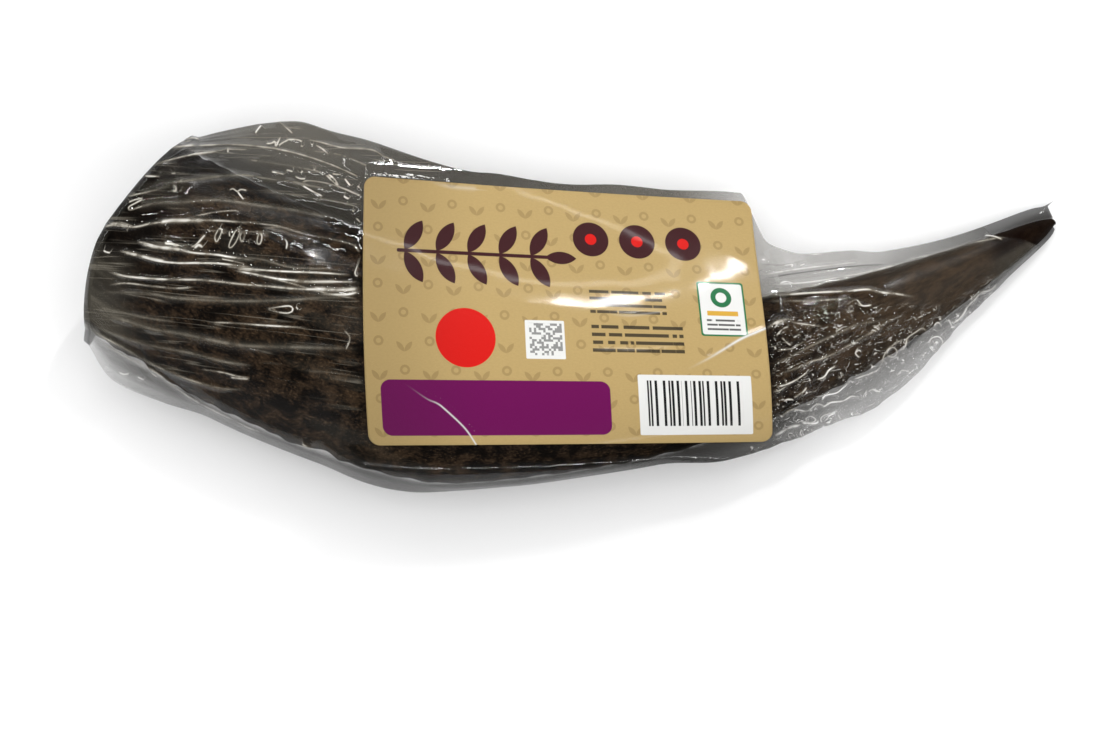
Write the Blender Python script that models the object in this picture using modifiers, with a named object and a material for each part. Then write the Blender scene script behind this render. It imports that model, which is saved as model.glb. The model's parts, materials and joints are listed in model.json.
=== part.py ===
"""A goat horn lying on its side in a clear film sleeve, with a card label on the sleeve.

Run it with blender --background --python part.py, or from Blender's text editor.
Metres, +Z up. The horn's curve lies in the XY plane, its cut base towards -X and its tip towards +X.
The origin is on the floor, under the middle of the whole object.
"""

import math

import bmesh
import bpy
import numpy as np
from mathutils import Vector
from mathutils.bvhtree import BVHTree
from mathutils.geometry import interpolate_bezier

MM = 0.001

# Horn, seen from above: the Bezier control points of its middle line, from the base to the tip
SPINE_CONTROL = ((-123.0, 20.5), (-34.3, -33.5), (21.4, -40.8), (133.9, 24.3))
# (share of the spine's length, size in mm) for what changes along the horn
HORN_WIDTH = (
    (0.0, 56.3), (0.12, 59.4), (0.20, 60.7), (0.34, 60.4), (0.42, 52.0), (0.50, 43.5), (0.60, 37.8),
    (0.75, 27.2), (0.88, 15.8), (0.95, 9.0), (0.985, 5.0), (1.0, 2.0),
)
HORN_THICKNESS = (
    (0.0, 35.0), (0.12, 37.0), (0.25, 35.5), (0.42, 30.5), (0.60, 24.0),
    (0.75, 18.5), (0.88, 12.0), (0.95, 8.0), (0.985, 4.5), (1.0, 2.0),
)
# The side towards the inside of the curve is the thick one, and the other thins to a keel
KEEL = 0.24
UNDERSIDE_FLAT = 0.93
TIP_ROUNDS_UNDER = 4.0 * MM

# The cut base falls back at the keel, and a little on the inside of the curve, and the ridges follow it
BASE_FALL_KEEL = 6.5 * MM
BASE_FALL_STARTS = 0.15
BASE_FALL_INSIDE = 3.0 * MM
BASE_WAVE = 0.5 * MM
BASE_WAVE_ENDS = 0.05
BASE_SHAPE_ENDS = 0.22

# Growth ridges round the horn
RIDGES = 36
RIDGE_SPACING_BASE_TO_TIP = 1.9
RIDGE_HEIGHT = ((0.0, 0.45), (0.35, 0.75), (0.7, 0.55), (1.0, 0.1))
RIDGE_ROUND_UNDERSIDE = 0.5

# Hollow in the base of the horn
HOLLOW_DEPTH = 0.50
HOLLOW_MOUTH = 0.885
HOLLOW_RINGS = 12

# Film sleeve
FILM_GAP = 0.6 * MM
FILM_THICKNESS = 0.25 * MM
FILM_LIP = 6.5 * MM
# (share of the spine's length, mm) that the film stands away from the horn's inner and outer edges
WEB_INSIDE_CURVE = (
    (0.0, 2.5), (0.03, 9.0), (0.06, 14.7), (0.10, 19.5), (0.13, 20.3), (0.19, 22.0), (0.32, 23.6),
    (0.425, 29.1), (0.54, 33.2), (0.61, 31.4), (0.7015, 27.8), (0.709, 13.6), (0.724, 10.7), (0.745, 8.3),
    (0.795, 6.1), (0.825, 3.6), (0.91, 2.1), (1.0, 3.2),
)
WEB_OUTSIDE_CURVE = (
    (0.0, 2.2), (0.045, 6.8), (0.10, 4.6), (0.15, 2.0), (0.26, 1.4), (0.318, 2.3), (0.38, 0.5),
    (0.43, 0.3), (0.55, 0.8), (0.61, 4.8), (0.65, 5.7), (0.71, 7.1), (0.75, 8.9), (0.79, 8.3),
    (0.83, 5.3), (0.88, 2.4), (0.95, 0.6), (1.0, 0.4),
)
WEB_HEIGHT = 0.42
PLEAT_RISE = 0.8 * MM
PLEATS_START = 0.02
PLEATS_END = 0.30
# Where the film ends at the tip: (direction round the section in degrees, share of the spine). Its upper
# ply ends early on a slant, and its edges and its lower ply reach past the horn
FILM_STRAIGHT_END = 0.915
FILM_TIP_CUT = (
    (0, 1.014), (14, 1.006), (38, 0.932), (90, 0.955), (150, 0.976), (172, 0.990), (180, 0.994), (270, 1.002),
    (360, 1.014),
)
FILM_TIP_RINGS = 4

# Card label on the sleeve's upper side: its corners in plan, in mm, and its bend
LABEL_CORNERS = ((-55.2, -37.3), (53.8, -36.8), (47.7, 28.7), (-57.0, 34.7))
LABEL_CORNER_RADIUS = 3.0 * MM
LABEL_THICKNESS = 0.25 * MM
LABEL_GAP = 0.3 * MM
UNDER_LABEL = (0.15, 0.85)

# Mesh fineness, and the shares where the film's web needs more rings for its corner
HORN_AROUND = 26
FILM_AROUND = 28
FILM_RINGS = 32
WEB_CORNER = (0.705, 0.709, 0.72)
SECTION_POINTS = 96
SLEEVE_SAMPLES = (120, 60)
CARD_SAMPLES = 25
LABEL_COLUMNS = 16
LABEL_ROWS = 10
CORNER_STEPS = 4

SHARP_EDGE_DEG = 50
FLOOR_SNAP = 0.05 * MM
ABOVE_ALL = 200.0 * MM
HORN_REST = FILM_GAP + FILM_THICKNESS


def along(knots, share):
    """The size in metres at a share of the spine, on a smooth curve through the knots without overshoot."""
    at = np.array([k[0] for k in knots])
    size = np.array([k[1] for k in knots]) * MM
    slope = np.diff(size) / np.diff(at)
    before, after = slope[:-1], slope[1:]
    inner = np.where(before * after > 0, 2 * before * after / (before + after + 1e-30), 0)
    tangent = np.concatenate([slope[:1], inner, slope[-1:]])
    share = np.clip(share, at[0], at[-1])
    i = np.clip(np.searchsorted(at, share, side="right") - 1, 0, len(at) - 2)
    step = at[i + 1] - at[i]
    t = (share - at[i]) / step
    rise = size[i + 1] - size[i]
    start = tangent[i] * step - rise
    end = rise - tangent[i + 1] * step
    return size[i] + t * rise + t * (1 - t) * ((1 - t) * start + t * end)


def make_spine(steps=400):
    """Points along the middle line, and their shares of its length."""
    corners = [Vector((x * MM, y * MM, 0.0)) for x, y in SPINE_CONTROL]
    points = np.array([p[:2] for p in interpolate_bezier(*corners, steps)])
    lengths = np.concatenate([[0.0], np.cumsum(np.linalg.norm(np.diff(points, axis=0), axis=1))])
    return points, lengths / lengths[-1], lengths[-1]


SPINE, SPINE_SHARES, SPINE_LENGTH = make_spine()


def spine_at(share):
    """(centre, sideways direction) in plan at a share of the spine, carried straight on past its ends."""
    inside = min(max(share, 0.0), 1.0)
    centre = np.array([np.interp(inside, SPINE_SHARES, SPINE[:, i]) for i in (0, 1)])
    near = [min(max(inside + d, 0.0), 1.0) for d in (-0.01, 0.01)]
    ends = [np.array([np.interp(n, SPINE_SHARES, SPINE[:, i]) for i in (0, 1)]) for n in near]
    forward = (ends[1] - ends[0]) / np.linalg.norm(ends[1] - ends[0])
    centre = centre + forward * (share - inside) * SPINE_LENGTH
    return centre, np.array([-forward[1], forward[0]])


def in_space(share, across, height):
    """The point that lies this far across the spine, towards the inside of the curve, and this high."""
    centre, side = spine_at(share)
    return Vector((*(centre + side * across), height))


def base_fall(share, across):
    """How far the base's shape pushes a ring towards the tip, where across runs from -1 at the keel to 1."""
    left = max(0.0, 1 - max(share, 0.0) / BASE_SHAPE_ENDS)
    keel = np.clip((-across - BASE_FALL_STARTS) / (1 - BASE_FALL_STARTS), 0, 1) ** 1.5
    return left * (BASE_FALL_KEEL * keel + BASE_FALL_INSIDE * np.clip(across, 0, 1))


def share_of_phase(phase):
    """Where along the spine this many growth ridges have passed. They come closer together at the tip."""
    grow = RIDGE_SPACING_BASE_TO_TIP - 1
    return (math.exp(phase / RIDGES * math.log(1 + grow)) - 1) / grow


def horn_section(share, angles, relief):
    """(across, height) of the horn's outline at a share of the spine, with relief 1 on a ridge, 0 between."""
    half_width = along(HORN_WIDTH, share) / 2
    half_depth = along(HORN_THICKNESS, share) / 2
    rise = along(RIDGE_HEIGHT, share) * relief
    taper = np.clip(half_depth / TIP_ROUNDS_UNDER, 0, 1)
    rise = rise * taper * (1 - RIDGE_ROUND_UNDERSIDE * np.clip(-np.sin(angles), 0, 1))
    across = (half_width + rise) * np.cos(angles)
    up = (half_depth + rise) * np.sin(angles) * (1 + KEEL * np.cos(angles))
    floor = -UNDERSIDE_FLAT * half_depth
    return across, np.maximum(up, floor) - floor + HORN_REST


def horn_ring(share, angles, relief=0.0, scale=1.0):
    """A ring of points round the horn, shrunk about its own middle by scale for the hollow."""
    across, height = horn_section(share, angles, relief)
    middle = (height.max() + height.min()) / 2
    across, height = across * scale, middle + (height - middle) * scale
    wave = BASE_WAVE * (0.6 * np.sin(2 * angles + 0.6) + 0.4 * np.sin(5 * angles))
    onward = base_fall(share, np.cos(angles)) + wave * max(0.0, 1 - share / BASE_WAVE_ENDS)
    return [in_space(share + o / SPINE_LENGTH, a, h) for a, h, o in zip(across, height, onward)]


def loft(rings, mesh_name, capped=False):
    """A closed mesh through rings of equally many points, capped at both ends or joined last to first."""
    mesh = bmesh.new()
    layers = [[mesh.verts.new(p) for p in ring] for ring in rings]
    around = len(rings[0])
    following = layers[1:] if capped else [*layers[1:], layers[0]]
    for here, there in zip(layers, following):
        for i in range(around):
            j = (i + 1) % around
            mesh.faces.new((here[i], here[j], there[j], there[i]))
    for layer in (layers[0], layers[-1]) if capped else ():
        middle = mesh.verts.new(sum((v.co for v in layer), Vector()) / around)
        for i in range(around):
            mesh.faces.new((layer[i], layer[(i + 1) % around], middle))
    bmesh.ops.recalc_face_normals(mesh, faces=mesh.faces)
    bmesh.ops.triangulate(mesh, faces=mesh.faces)
    data = bpy.data.meshes.new(mesh_name)
    mesh.to_mesh(data)
    mesh.free()
    return data


def horn_mesh():
    """The horn: ridged skin from the tip to the base, then over its edge and up the hollow."""
    angles = np.linspace(0, 2 * math.pi, HORN_AROUND, endpoint=False)
    outside = []
    for half in range(2 * RIDGES - 1, 0, -1):
        outside.append(horn_ring(share_of_phase(half / 2), angles, relief=half % 2))
    base = horn_ring(0.0, angles)
    rim = horn_ring(0.0, angles, scale=(1 + HOLLOW_MOUTH) / 2)
    tip = horn_ring(1.0, angles)
    inside = []
    for i in range(HOLLOW_RINGS):
        deep = i / HOLLOW_RINGS
        inside.append(horn_ring(HOLLOW_DEPTH * deep, angles, scale=HOLLOW_MOUTH * (1 - deep**1.5)))
    return loft([tip, *outside, base, rim, *inside], "horn", capped=True)


def film_point(share, direction, outward, pleat=0.0):
    """(across, height) of the film in one direction of the section, outward of the horn's ridge tops.
    The film is stretched: round the horn, and straight out to the web's edge on each side."""
    around = np.linspace(0, 2 * math.pi, SECTION_POINTS, endpoint=False)
    across, height = horn_section(share, around, 1.0)
    lift = HORN_REST + along(HORN_THICKNESS, share) * WEB_HEIGHT
    inner_edge = across.max() + along(WEB_INSIDE_CURVE, share)
    outer_edge = across.min() - along(WEB_OUTSIDE_CURVE, share)
    across = np.concatenate([across, [inner_edge, outer_edge]])
    height = np.concatenate([height, [lift, lift]])
    toward = (math.cos(direction), math.sin(direction))
    far = int(np.argmax(across * toward[0] + height * toward[1]))
    reach = outward + pleat
    x, z = across[far] + reach * toward[0], height[far] + reach * toward[1]
    lowest = HORN_REST - outward
    return x, lowest if z < lowest + FLOOR_SNAP else z


def tip_cut(direction):
    """Where the film ends in one direction of the section."""
    return np.interp(math.degrees(direction), *zip(*FILM_TIP_CUT))


def film_ring(share, outward, lip=0.0, to_tip=0.0):
    """A ring of the film. A lip turns it in towards its middle; to_tip takes it on to the slanted cut."""
    fade = max(0.0, 1 - share / PLEATS_END) * min(1.0, max(0.0, share / PLEATS_START))
    half_width = along(HORN_WIDTH, share) / 2
    ring = []
    for i in range(FILM_AROUND):
        direction = 2 * math.pi * (i + 0.5) / FILM_AROUND
        pleat = PLEAT_RISE * fade * (i % 2)
        here = share + (tip_cut(direction) - share) * to_tip
        across, height = film_point(max(here, 0.0), direction, outward, pleat)
        onward = base_fall(share, across / half_width)
        if lip:
            middle = HORN_REST + along(HORN_THICKNESS, 0.0) * UNDERSIDE_FLAT / 2
            length = math.hypot(across, height - middle)
            across *= 1 - lip / length
            height = middle + (height - middle) * (1 - lip / length)
        ring.append(in_space(here + onward / SPINE_LENGTH, across, height))
    return ring


def film_rings(outward):
    """One skin of the sleeve: in over the horn's base, along the horn, and out to the slanted end."""
    base = -(outward + BASE_WAVE) / SPINE_LENGTH
    rings = [film_ring(base, outward, lip=FILM_LIP), film_ring(base, outward)]
    shares = [*np.linspace(0, FILM_STRAIGHT_END, FILM_RINGS)[1:], *WEB_CORNER]
    rings += [film_ring(share, outward) for share in sorted(shares)]
    for i in range(FILM_TIP_RINGS):
        rings.append(film_ring(FILM_STRAIGHT_END, outward, to_tip=(i + 1) / FILM_TIP_RINGS))
    return rings


def film_mesh():
    """The sleeve: an outer and an inner skin, joined at the lip and at the tip."""
    outer = film_rings(FILM_GAP + FILM_THICKNESS)
    inner = film_rings(FILM_GAP)
    return loft([*outer, *reversed(inner)], "film")


def sleeve_top():
    """A fine surface of the film's upper side without pleats, to lay the label on."""
    shares = np.linspace(*UNDER_LABEL, SLEEVE_SAMPLES[0])
    directions = np.linspace(-0.1 * math.pi, 1.1 * math.pi, SLEEVE_SAMPLES[1])
    points = []
    for share in shares:
        for direction in directions:
            points.append(in_space(share, *film_point(share, direction, FILM_GAP + FILM_THICKNESS)))
    faces = []
    wide = len(directions)
    for row in range(len(shares) - 1):
        for i in range(wide - 1):
            a = row * wide + i
            faces.append((a, a + 1, a + wide + 1, a + wide))
    return BVHTree.FromPolygons(points, faces)


def label_place(u, v):
    """(x, y) in plan of a card point, whose u and v run from 0 to 1 across and up the card."""
    corners = np.array(LABEL_CORNERS) * MM
    lower = corners[0] * (1 - u) + corners[1] * u
    upper = corners[3] * (1 - u) + corners[2] * u
    return lower * (1 - v) + upper * v


def bend_terms(u, v):
    """The smooth bends that the card's height is made of."""
    return [1, u, u * u, v, u * v, u * u * v, v * v, u * v * v, v**3, u * v**3, v**4]


def card_bend():
    """The smooth bend that follows the sleeve best, lifted so that it stays clear of it."""
    surface = sleeve_top()
    terms, heights = [], []
    for u in np.linspace(0, 1, CARD_SAMPLES):
        for v in np.linspace(0, 1, CARD_SAMPLES):
            hit = surface.ray_cast(Vector((*label_place(u, v), ABOVE_ALL)), Vector((0, 0, -1)))[0]
            if hit:
                terms.append(bend_terms(u, v))
                heights.append(hit.z)
    bend = np.linalg.lstsq(np.array(terms), np.array(heights), rcond=None)[0]
    bend[0] += (np.array(heights) - np.array(terms) @ bend).max() + LABEL_GAP
    return bend


def card_rows():
    """(v, inset from each side) for the card's rows, which lie closer together in its rounded corners."""
    width = math.dist(LABEL_CORNERS[0], LABEL_CORNERS[1]) * MM
    height = math.dist(LABEL_CORNERS[0], LABEL_CORNERS[3]) * MM
    steps = np.linspace(0.03, 1, CORNER_STEPS) * math.pi / 2
    rise = LABEL_CORNER_RADIUS / height * (1 - np.cos(steps))
    inset = LABEL_CORNER_RADIUS / width * (1 - np.sin(steps))
    middle = np.linspace(rise[-1], 1 - rise[-1], LABEL_ROWS + 1)[1:-1]
    return [*zip(rise, inset), *[(v, 0.0) for v in middle], *zip(1 - rise[::-1], inset[::-1])]


def label_mesh():
    """The card, bent over the sleeve, as a sheet that a Solidify modifier thickens."""
    bend = card_bend()
    mesh = bmesh.new()
    rows = []
    for v, inset in card_rows():
        row = []
        for u in np.linspace(inset, 1 - inset, LABEL_COLUMNS + 1):
            row.append(mesh.verts.new((*label_place(u, v), np.dot(bend_terms(u, v), bend))))
        rows.append(row)
    for lower, upper in zip(rows, rows[1:]):
        for i in range(LABEL_COLUMNS):
            mesh.faces.new((lower[i], lower[i + 1], upper[i + 1], upper[i]))
    data = bpy.data.meshes.new("label")
    mesh.to_mesh(data)
    mesh.free()
    return data


def material(name, colour, roughness, alpha=1.0):
    made = bpy.data.materials.new(name)
    made.use_nodes = True
    shader = made.node_tree.nodes["Principled BSDF"]
    shader.inputs["Base Color"].default_value = (*colour, 1.0)
    shader.inputs["Roughness"].default_value = roughness
    shader.inputs["Metallic"].default_value = 0.0
    shader.inputs["Alpha"].default_value = alpha
    return made


def place(name, mesh, collection, finish):
    made = bpy.data.objects.new(name, mesh)
    collection.objects.link(made)
    mesh.materials.append(finish)
    mesh.shade_smooth()
    mesh.set_sharp_from_angle(angle=math.radians(SHARP_EDGE_DEG))
    return made


def main():
    for old in list(bpy.data.objects):
        bpy.data.objects.remove(old)
    parts = bpy.data.collections.new("goat_horn")
    bpy.context.scene.collection.children.link(parts)
    place("horn", horn_mesh(), parts, material("horn", (0.045, 0.030, 0.021), 0.75))
    place("film_sleeve", film_mesh(), parts, material("clear_film", (0.80, 0.80, 0.78), 0.08, alpha=0.3))
    label = place("label", label_mesh(), parts, material("card", (0.56, 0.41, 0.19), 0.35))
    thicken = label.modifiers.new("thickness", "SOLIDIFY")
    thicken.thickness = LABEL_THICKNESS
    thicken.offset = 1.0


main()
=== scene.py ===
"""The looks of a goat horn in a clear shrunk film sleeve, with a card label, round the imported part.

Metres, +Z up, in the part's frame: the horn lies on the floor with its curve in the XY plane, its cut
base towards -X and its tip towards +X. Places marked as picture places are pixels of the photograph,
1100 wide and 748 high, and are brought onto the object's surface through the camera below.
"""

import functools
import itertools
import json
import math

import bpy
import numpy as np
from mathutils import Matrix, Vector
from mathutils.bvhtree import BVHTree
from mathutils.geometry import interpolate_bezier

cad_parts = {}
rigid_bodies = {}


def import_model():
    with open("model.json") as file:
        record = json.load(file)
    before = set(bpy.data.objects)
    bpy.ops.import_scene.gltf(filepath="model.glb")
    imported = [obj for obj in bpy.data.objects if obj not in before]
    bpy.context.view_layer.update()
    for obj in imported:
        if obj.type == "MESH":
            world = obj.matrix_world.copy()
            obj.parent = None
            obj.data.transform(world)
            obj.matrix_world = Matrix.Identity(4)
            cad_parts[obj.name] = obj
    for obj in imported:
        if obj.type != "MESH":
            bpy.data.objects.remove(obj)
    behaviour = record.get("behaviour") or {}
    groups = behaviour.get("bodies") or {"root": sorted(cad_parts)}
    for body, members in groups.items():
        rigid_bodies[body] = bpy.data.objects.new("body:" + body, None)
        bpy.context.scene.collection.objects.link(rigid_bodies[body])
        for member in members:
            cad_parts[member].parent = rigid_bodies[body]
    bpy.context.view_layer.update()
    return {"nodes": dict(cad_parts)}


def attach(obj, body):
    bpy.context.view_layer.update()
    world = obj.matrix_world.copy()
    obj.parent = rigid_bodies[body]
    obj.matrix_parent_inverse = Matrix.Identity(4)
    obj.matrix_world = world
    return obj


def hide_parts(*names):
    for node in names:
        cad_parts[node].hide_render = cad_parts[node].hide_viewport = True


for old in list(bpy.data.objects):
    bpy.data.objects.remove(old)
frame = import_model()

MM = 0.001

# Camera: straight above the object, with the photograph's frame
PICTURE_CENTRE = (550.0, 374.0)
FOCAL_PX = 1955.0
PICTURE_WIDTH_PX = 1100.0
SENSOR_MM = 36.0
CAMERA_PLACE = (-7.1 * MM, -18.4 * MM, 550.0 * MM)

# Horn, as in the part: the Bezier control points of its middle line, and (share of its length, mm)
SPINE_CONTROL = ((-123.0, 20.5), (-34.3, -33.5), (21.4, -40.8), (133.9, 24.3))
HORN_WIDTH = (
    (0.0, 56.3), (0.12, 59.4), (0.20, 60.7), (0.34, 60.4), (0.42, 52.0), (0.50, 43.5), (0.60, 37.8),
    (0.75, 27.2), (0.88, 15.8), (0.95, 9.0), (0.985, 5.0), (1.0, 2.0),
)
HORN_THICKNESS = (
    (0.0, 35.0), (0.12, 37.0), (0.25, 35.5), (0.42, 30.5), (0.60, 24.0),
    (0.75, 18.5), (0.88, 12.0), (0.95, 8.0), (0.985, 4.5), (1.0, 2.0),
)
KEEL = 0.24
UNDERSIDE_FLAT = 0.93
TIP_ROUNDS_UNDER = 4.0 * MM
BASE_FALL_KEEL = 6.5 * MM
BASE_FALL_STARTS = 0.15
BASE_FALL_INSIDE = 3.0 * MM
BASE_WAVE = 0.5 * MM
BASE_WAVE_ENDS = 0.05
BASE_SHAPE_ENDS = 0.22
RIDGES = 36
RIDGE_SPACING_BASE_TO_TIP = 1.9
RIDGE_HEIGHT = ((0.0, 0.45), (0.35, 0.75), (0.7, 0.55), (1.0, 0.1))
RIDGE_ROUND_UNDERSIDE = 0.5
HOLLOW_DEPTH = 0.50
HOLLOW_MOUTH = 0.885

# Film sleeve, as in the part
FILM_GAP = 0.6 * MM
FILM_MIDDLE = 0.12 * MM
FILM_LIP = 6.5 * MM
WEB_INSIDE_CURVE = (
    (0.0, 2.5), (0.03, 9.0), (0.06, 14.7), (0.10, 19.5), (0.13, 20.3), (0.19, 22.0), (0.32, 23.6),
    (0.425, 29.1), (0.54, 33.2), (0.61, 31.4), (0.7015, 27.8), (0.709, 13.6), (0.724, 10.7), (0.745, 8.3),
    (0.795, 6.1), (0.825, 3.6), (0.91, 2.1), (1.0, 3.2),
)
WEB_OUTSIDE_CURVE = (
    (0.0, 2.2), (0.045, 6.8), (0.10, 4.6), (0.15, 2.0), (0.26, 1.4), (0.318, 2.3), (0.38, 0.5),
    (0.43, 0.3), (0.55, 0.8), (0.61, 4.8), (0.65, 5.7), (0.71, 7.1), (0.75, 8.9), (0.79, 8.3),
    (0.83, 5.3), (0.88, 2.4), (0.95, 0.6), (1.0, 0.4),
)
WEB_HEIGHT = 0.42
HORN_REST = FILM_GAP + 0.25 * MM
FILM_STRAIGHT_END = 0.915
# Where the film ends at the tip: (direction round the section in degrees, share of the spine). Its upper
# ply ends early on a slant, and its edges and its lower ply reach past the horn
FILM_TIP_CUT = (
    (0, 1.014), (14, 1.006), (38, 0.932), (90, 0.955), (150, 0.976), (172, 0.990), (180, 0.994), (270, 1.002),
    (360, 1.014),
)

# Card label, as in the part: its corners in plan, in mm
LABEL_CORNERS = ((-55.2, -37.3), (53.8, -36.8), (47.7, 28.7), (-57.0, 34.7))
LABEL_CORNER_RADIUS = 3.0 * MM
LABEL_THICKNESS = 0.25 * MM
CARD_OVER_FILM = 0.12 * MM

# Mesh fineness
HORN_RINGS = 400
HORN_AROUND = 200
HOLLOW_RINGS = 40
FILM_RINGS = 372
FILM_TIP_RINGS = 46
FILM_LIP_RINGS = 10
FILM_TOP = 178
FILM_UNDER = 36
SECTION_POINTS = 720
# (share of the spine's length, how closely the film's rings lie there)
FILM_RING_DENSITY = ((0.0, 1.2), (0.30, 1.2), (0.36, 0.35), (0.60, 0.35), (0.66, 1.5), (0.915, 1.5))
LABEL_COLUMNS = 180
LABEL_ROWS = 112
CORNER_STEPS = 8


# Plain helpers

def smooth_step(value, low, high):
    t = np.clip((value - low) / (high - low), 0, 1)
    return t * t * (3 - 2 * t)


def along(knots, share):
    """The size in metres at a share of the spine, on a smooth curve through the knots without overshoot."""
    at = np.array([k[0] for k in knots])
    size = np.array([k[1] for k in knots]) * MM
    slope = np.diff(size) / np.diff(at)
    before, after = slope[:-1], slope[1:]
    inner = np.where(before * after > 0, 2 * before * after / (before + after + 1e-30), 0)
    tangent = np.concatenate([slope[:1], inner, slope[-1:]])
    share = np.clip(share, at[0], at[-1])
    i = np.clip(np.searchsorted(at, share, side="right") - 1, 0, len(at) - 2)
    step = at[i + 1] - at[i]
    t = (share - at[i]) / step
    rise = size[i + 1] - size[i]
    start = tangent[i] * step - rise
    end = rise - tangent[i + 1] * step
    return size[i] + t * rise + t * (1 - t) * ((1 - t) * start + t * end)


def lattice(cell, seed):
    """A repeatable random number from 0 to 1 for each whole-numbered place."""
    word = np.int64(seed * 7919 + 17)
    for i, prime in zip(range(cell.shape[-1]), (73856093, 19349663, 83492791)):
        word = word ^ (cell[..., i] * prime)
    word = word & 0xFFFFFFFF
    word = ((word ^ (word >> 15)) * 0x2C1B3C6D) & 0xFFFFFFFF
    word = ((word ^ (word >> 12)) * 0x297A2D39) & 0xFFFFFFFF
    return ((word ^ (word >> 15)) & 0xFFFF) / 65535.0


def noise(points, size, seed=0):
    """Smooth noise from -1 to 1, with lumps of this size, or of one size along each coordinate."""
    place = points / np.asarray(size, float)
    cell = np.floor(place).astype(np.int64)
    t = place - cell
    t = t * t * t * (t * (6 * t - 15) + 10)
    total = 0.0
    for corner in itertools.product((0, 1), repeat=place.shape[-1]):
        weight = np.prod(np.where(np.array(corner) == 1, t, 1 - t), axis=-1)
        total = total + weight * lattice(cell + np.array(corner), seed)
    return 2 * total - 1


def fractal(points, size, octaves, seed=0):
    """Noise with finer and weaker noise added to it."""
    size = np.asarray(size, float)
    layers = [noise(points, size / 2**i, seed + i) / 2**i for i in range(octaves)]
    return sum(layers) / sum(1 / 2**i for i in range(octaves))


def make_spine(steps=400):
    """Points along the middle line, their shares of its length, and that length."""
    corners = [Vector((x * MM, y * MM, 0.0)) for x, y in SPINE_CONTROL]
    points = np.array([p[:2] for p in interpolate_bezier(*corners, steps)])
    lengths = np.concatenate([[0.0], np.cumsum(np.linalg.norm(np.diff(points, axis=0), axis=1))])
    return points, lengths / lengths[-1], lengths[-1]


SPINE, SPINE_SHARES, SPINE_LENGTH = make_spine()


def spine_place(share):
    return np.stack([np.interp(share, SPINE_SHARES, SPINE[:, i]) for i in (0, 1)], -1)


def in_space(share, across, height):
    """Points this far across the spine, towards the inside of the curve, and this high."""
    inside = np.clip(share, 0.0, 1.0)
    forward = spine_place(np.clip(inside + 0.01, 0, 1)) - spine_place(np.clip(inside - 0.01, 0, 1))
    forward = forward / np.linalg.norm(forward, axis=-1, keepdims=True)
    centre = spine_place(inside) + forward * ((share - inside) * SPINE_LENGTH)[..., None]
    side = np.stack([-forward[..., 1], forward[..., 0]], -1)
    return np.concatenate([centre + side * across[..., None], height[..., None]], -1)


def to_picture(points):
    """Where the camera sees points, in the photograph's pixels."""
    away = CAMERA_PLACE[2] - points[..., 2]
    right = (points[..., 0] - CAMERA_PLACE[0]) / away * FOCAL_PX
    down = (CAMERA_PLACE[1] - points[..., 1]) / away * FOCAL_PX
    return np.stack([PICTURE_CENTRE[0] + right, PICTURE_CENTRE[1] + down], -1)


def smooth_line(knots, steps=8):
    """A smooth line through a few picture places."""
    knots = np.array(knots, float)
    ends = [2 * knots[0] - knots[1], *knots, 2 * knots[-1] - knots[-2]]
    line = []
    for a, b, c, d in zip(ends, ends[1:], ends[2:], ends[3:]):
        for t in np.arange(steps) / steps:
            bend = (2 * a - 5 * b + 4 * c - d) * t * t + (3 * b - a - 3 * c + d) * t**3
            line.append(b + 0.5 * ((c - a) * t + bend))
    return np.array([*line, knots[-1]])


def near_line(places, line):
    """(signed distance to the line, share along it) for each place."""
    best = np.full(places.shape[:-1], 1e9)
    signed = np.zeros(best.shape)
    reached = np.zeros(best.shape)
    for i, (a, b) in enumerate(zip(line[:-1], line[1:])):
        run = b - a
        off = places - a
        t = np.clip((off @ run) / (run @ run), 0, 1)
        gap = off - t[..., None] * run
        distance = np.linalg.norm(gap, axis=-1)
        closer = distance < best
        best = np.where(closer, distance, best)
        turn = run[0] * off[..., 1] - run[1] * off[..., 0]
        signed = np.where(closer, distance * np.sign(turn), signed)
        reached = np.where(closer, (i + t) / (len(line) - 1), reached)
    return signed, reached


def grid_normals(points):
    """Outward normals of a grid of points whose rows are rings."""
    down = np.gradient(points, axis=0)
    wrapped = np.concatenate([points[:, -1:], points, points[:, :1]], axis=1)
    over = (wrapped[:, 2:] - wrapped[:, :-2]) / 2
    normal = np.cross(over, down)
    return normal / (np.linalg.norm(normal, axis=-1, keepdims=True) + 1e-12)


def grid_faces(rows, columns, wrap):
    """Four-sided faces between the points of a grid, also from its last column to its first if it wraps."""
    wide = columns if wrap else columns - 1
    row, column = np.meshgrid(np.arange(rows - 1), np.arange(wide), indexing="ij")
    here, right = row * columns + column, row * columns + (column + 1) % columns
    return np.stack([here, right, right + columns, here + columns], -1).reshape(-1, 4)


def make_object(name, points, faces, attributes):
    """A smooth mesh object with the named values at its points."""
    mesh = bpy.data.meshes.new(name)
    mesh.from_pydata(points.reshape(-1, 3).tolist(), [], [list(f) for f in faces])
    for key, values in attributes.items():
        vector = values.shape[-1] == 3 and values.ndim > 1
        layer = mesh.attributes.new(key, "FLOAT_VECTOR" if vector else "FLOAT", "POINT")
        layer.data.foreach_set("vector" if vector else "value", values.astype(np.float32).ravel())
    mesh.shade_smooth()
    made = bpy.data.objects.new(name, mesh)
    bpy.context.scene.collection.objects.link(made)
    return made


# Horn

def base_fall(share, across):
    """How far the base's shape pushes a ring towards the tip, where across runs from -1 at the keel to 1."""
    left = np.clip(1 - np.maximum(share, 0.0) / BASE_SHAPE_ENDS, 0, 1)
    keel = np.clip((-across - BASE_FALL_STARTS) / (1 - BASE_FALL_STARTS), 0, 1) ** 1.5
    return left * (BASE_FALL_KEEL * keel + BASE_FALL_INSIDE * np.clip(across, 0, 1))


def phase_of_share(share):
    """How many growth ridges have passed at a share of the spine."""
    grow = RIDGE_SPACING_BASE_TO_TIP - 1
    return RIDGES * np.log(1 + grow * np.clip(share, 0, 1)) / math.log(1 + grow)


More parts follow.
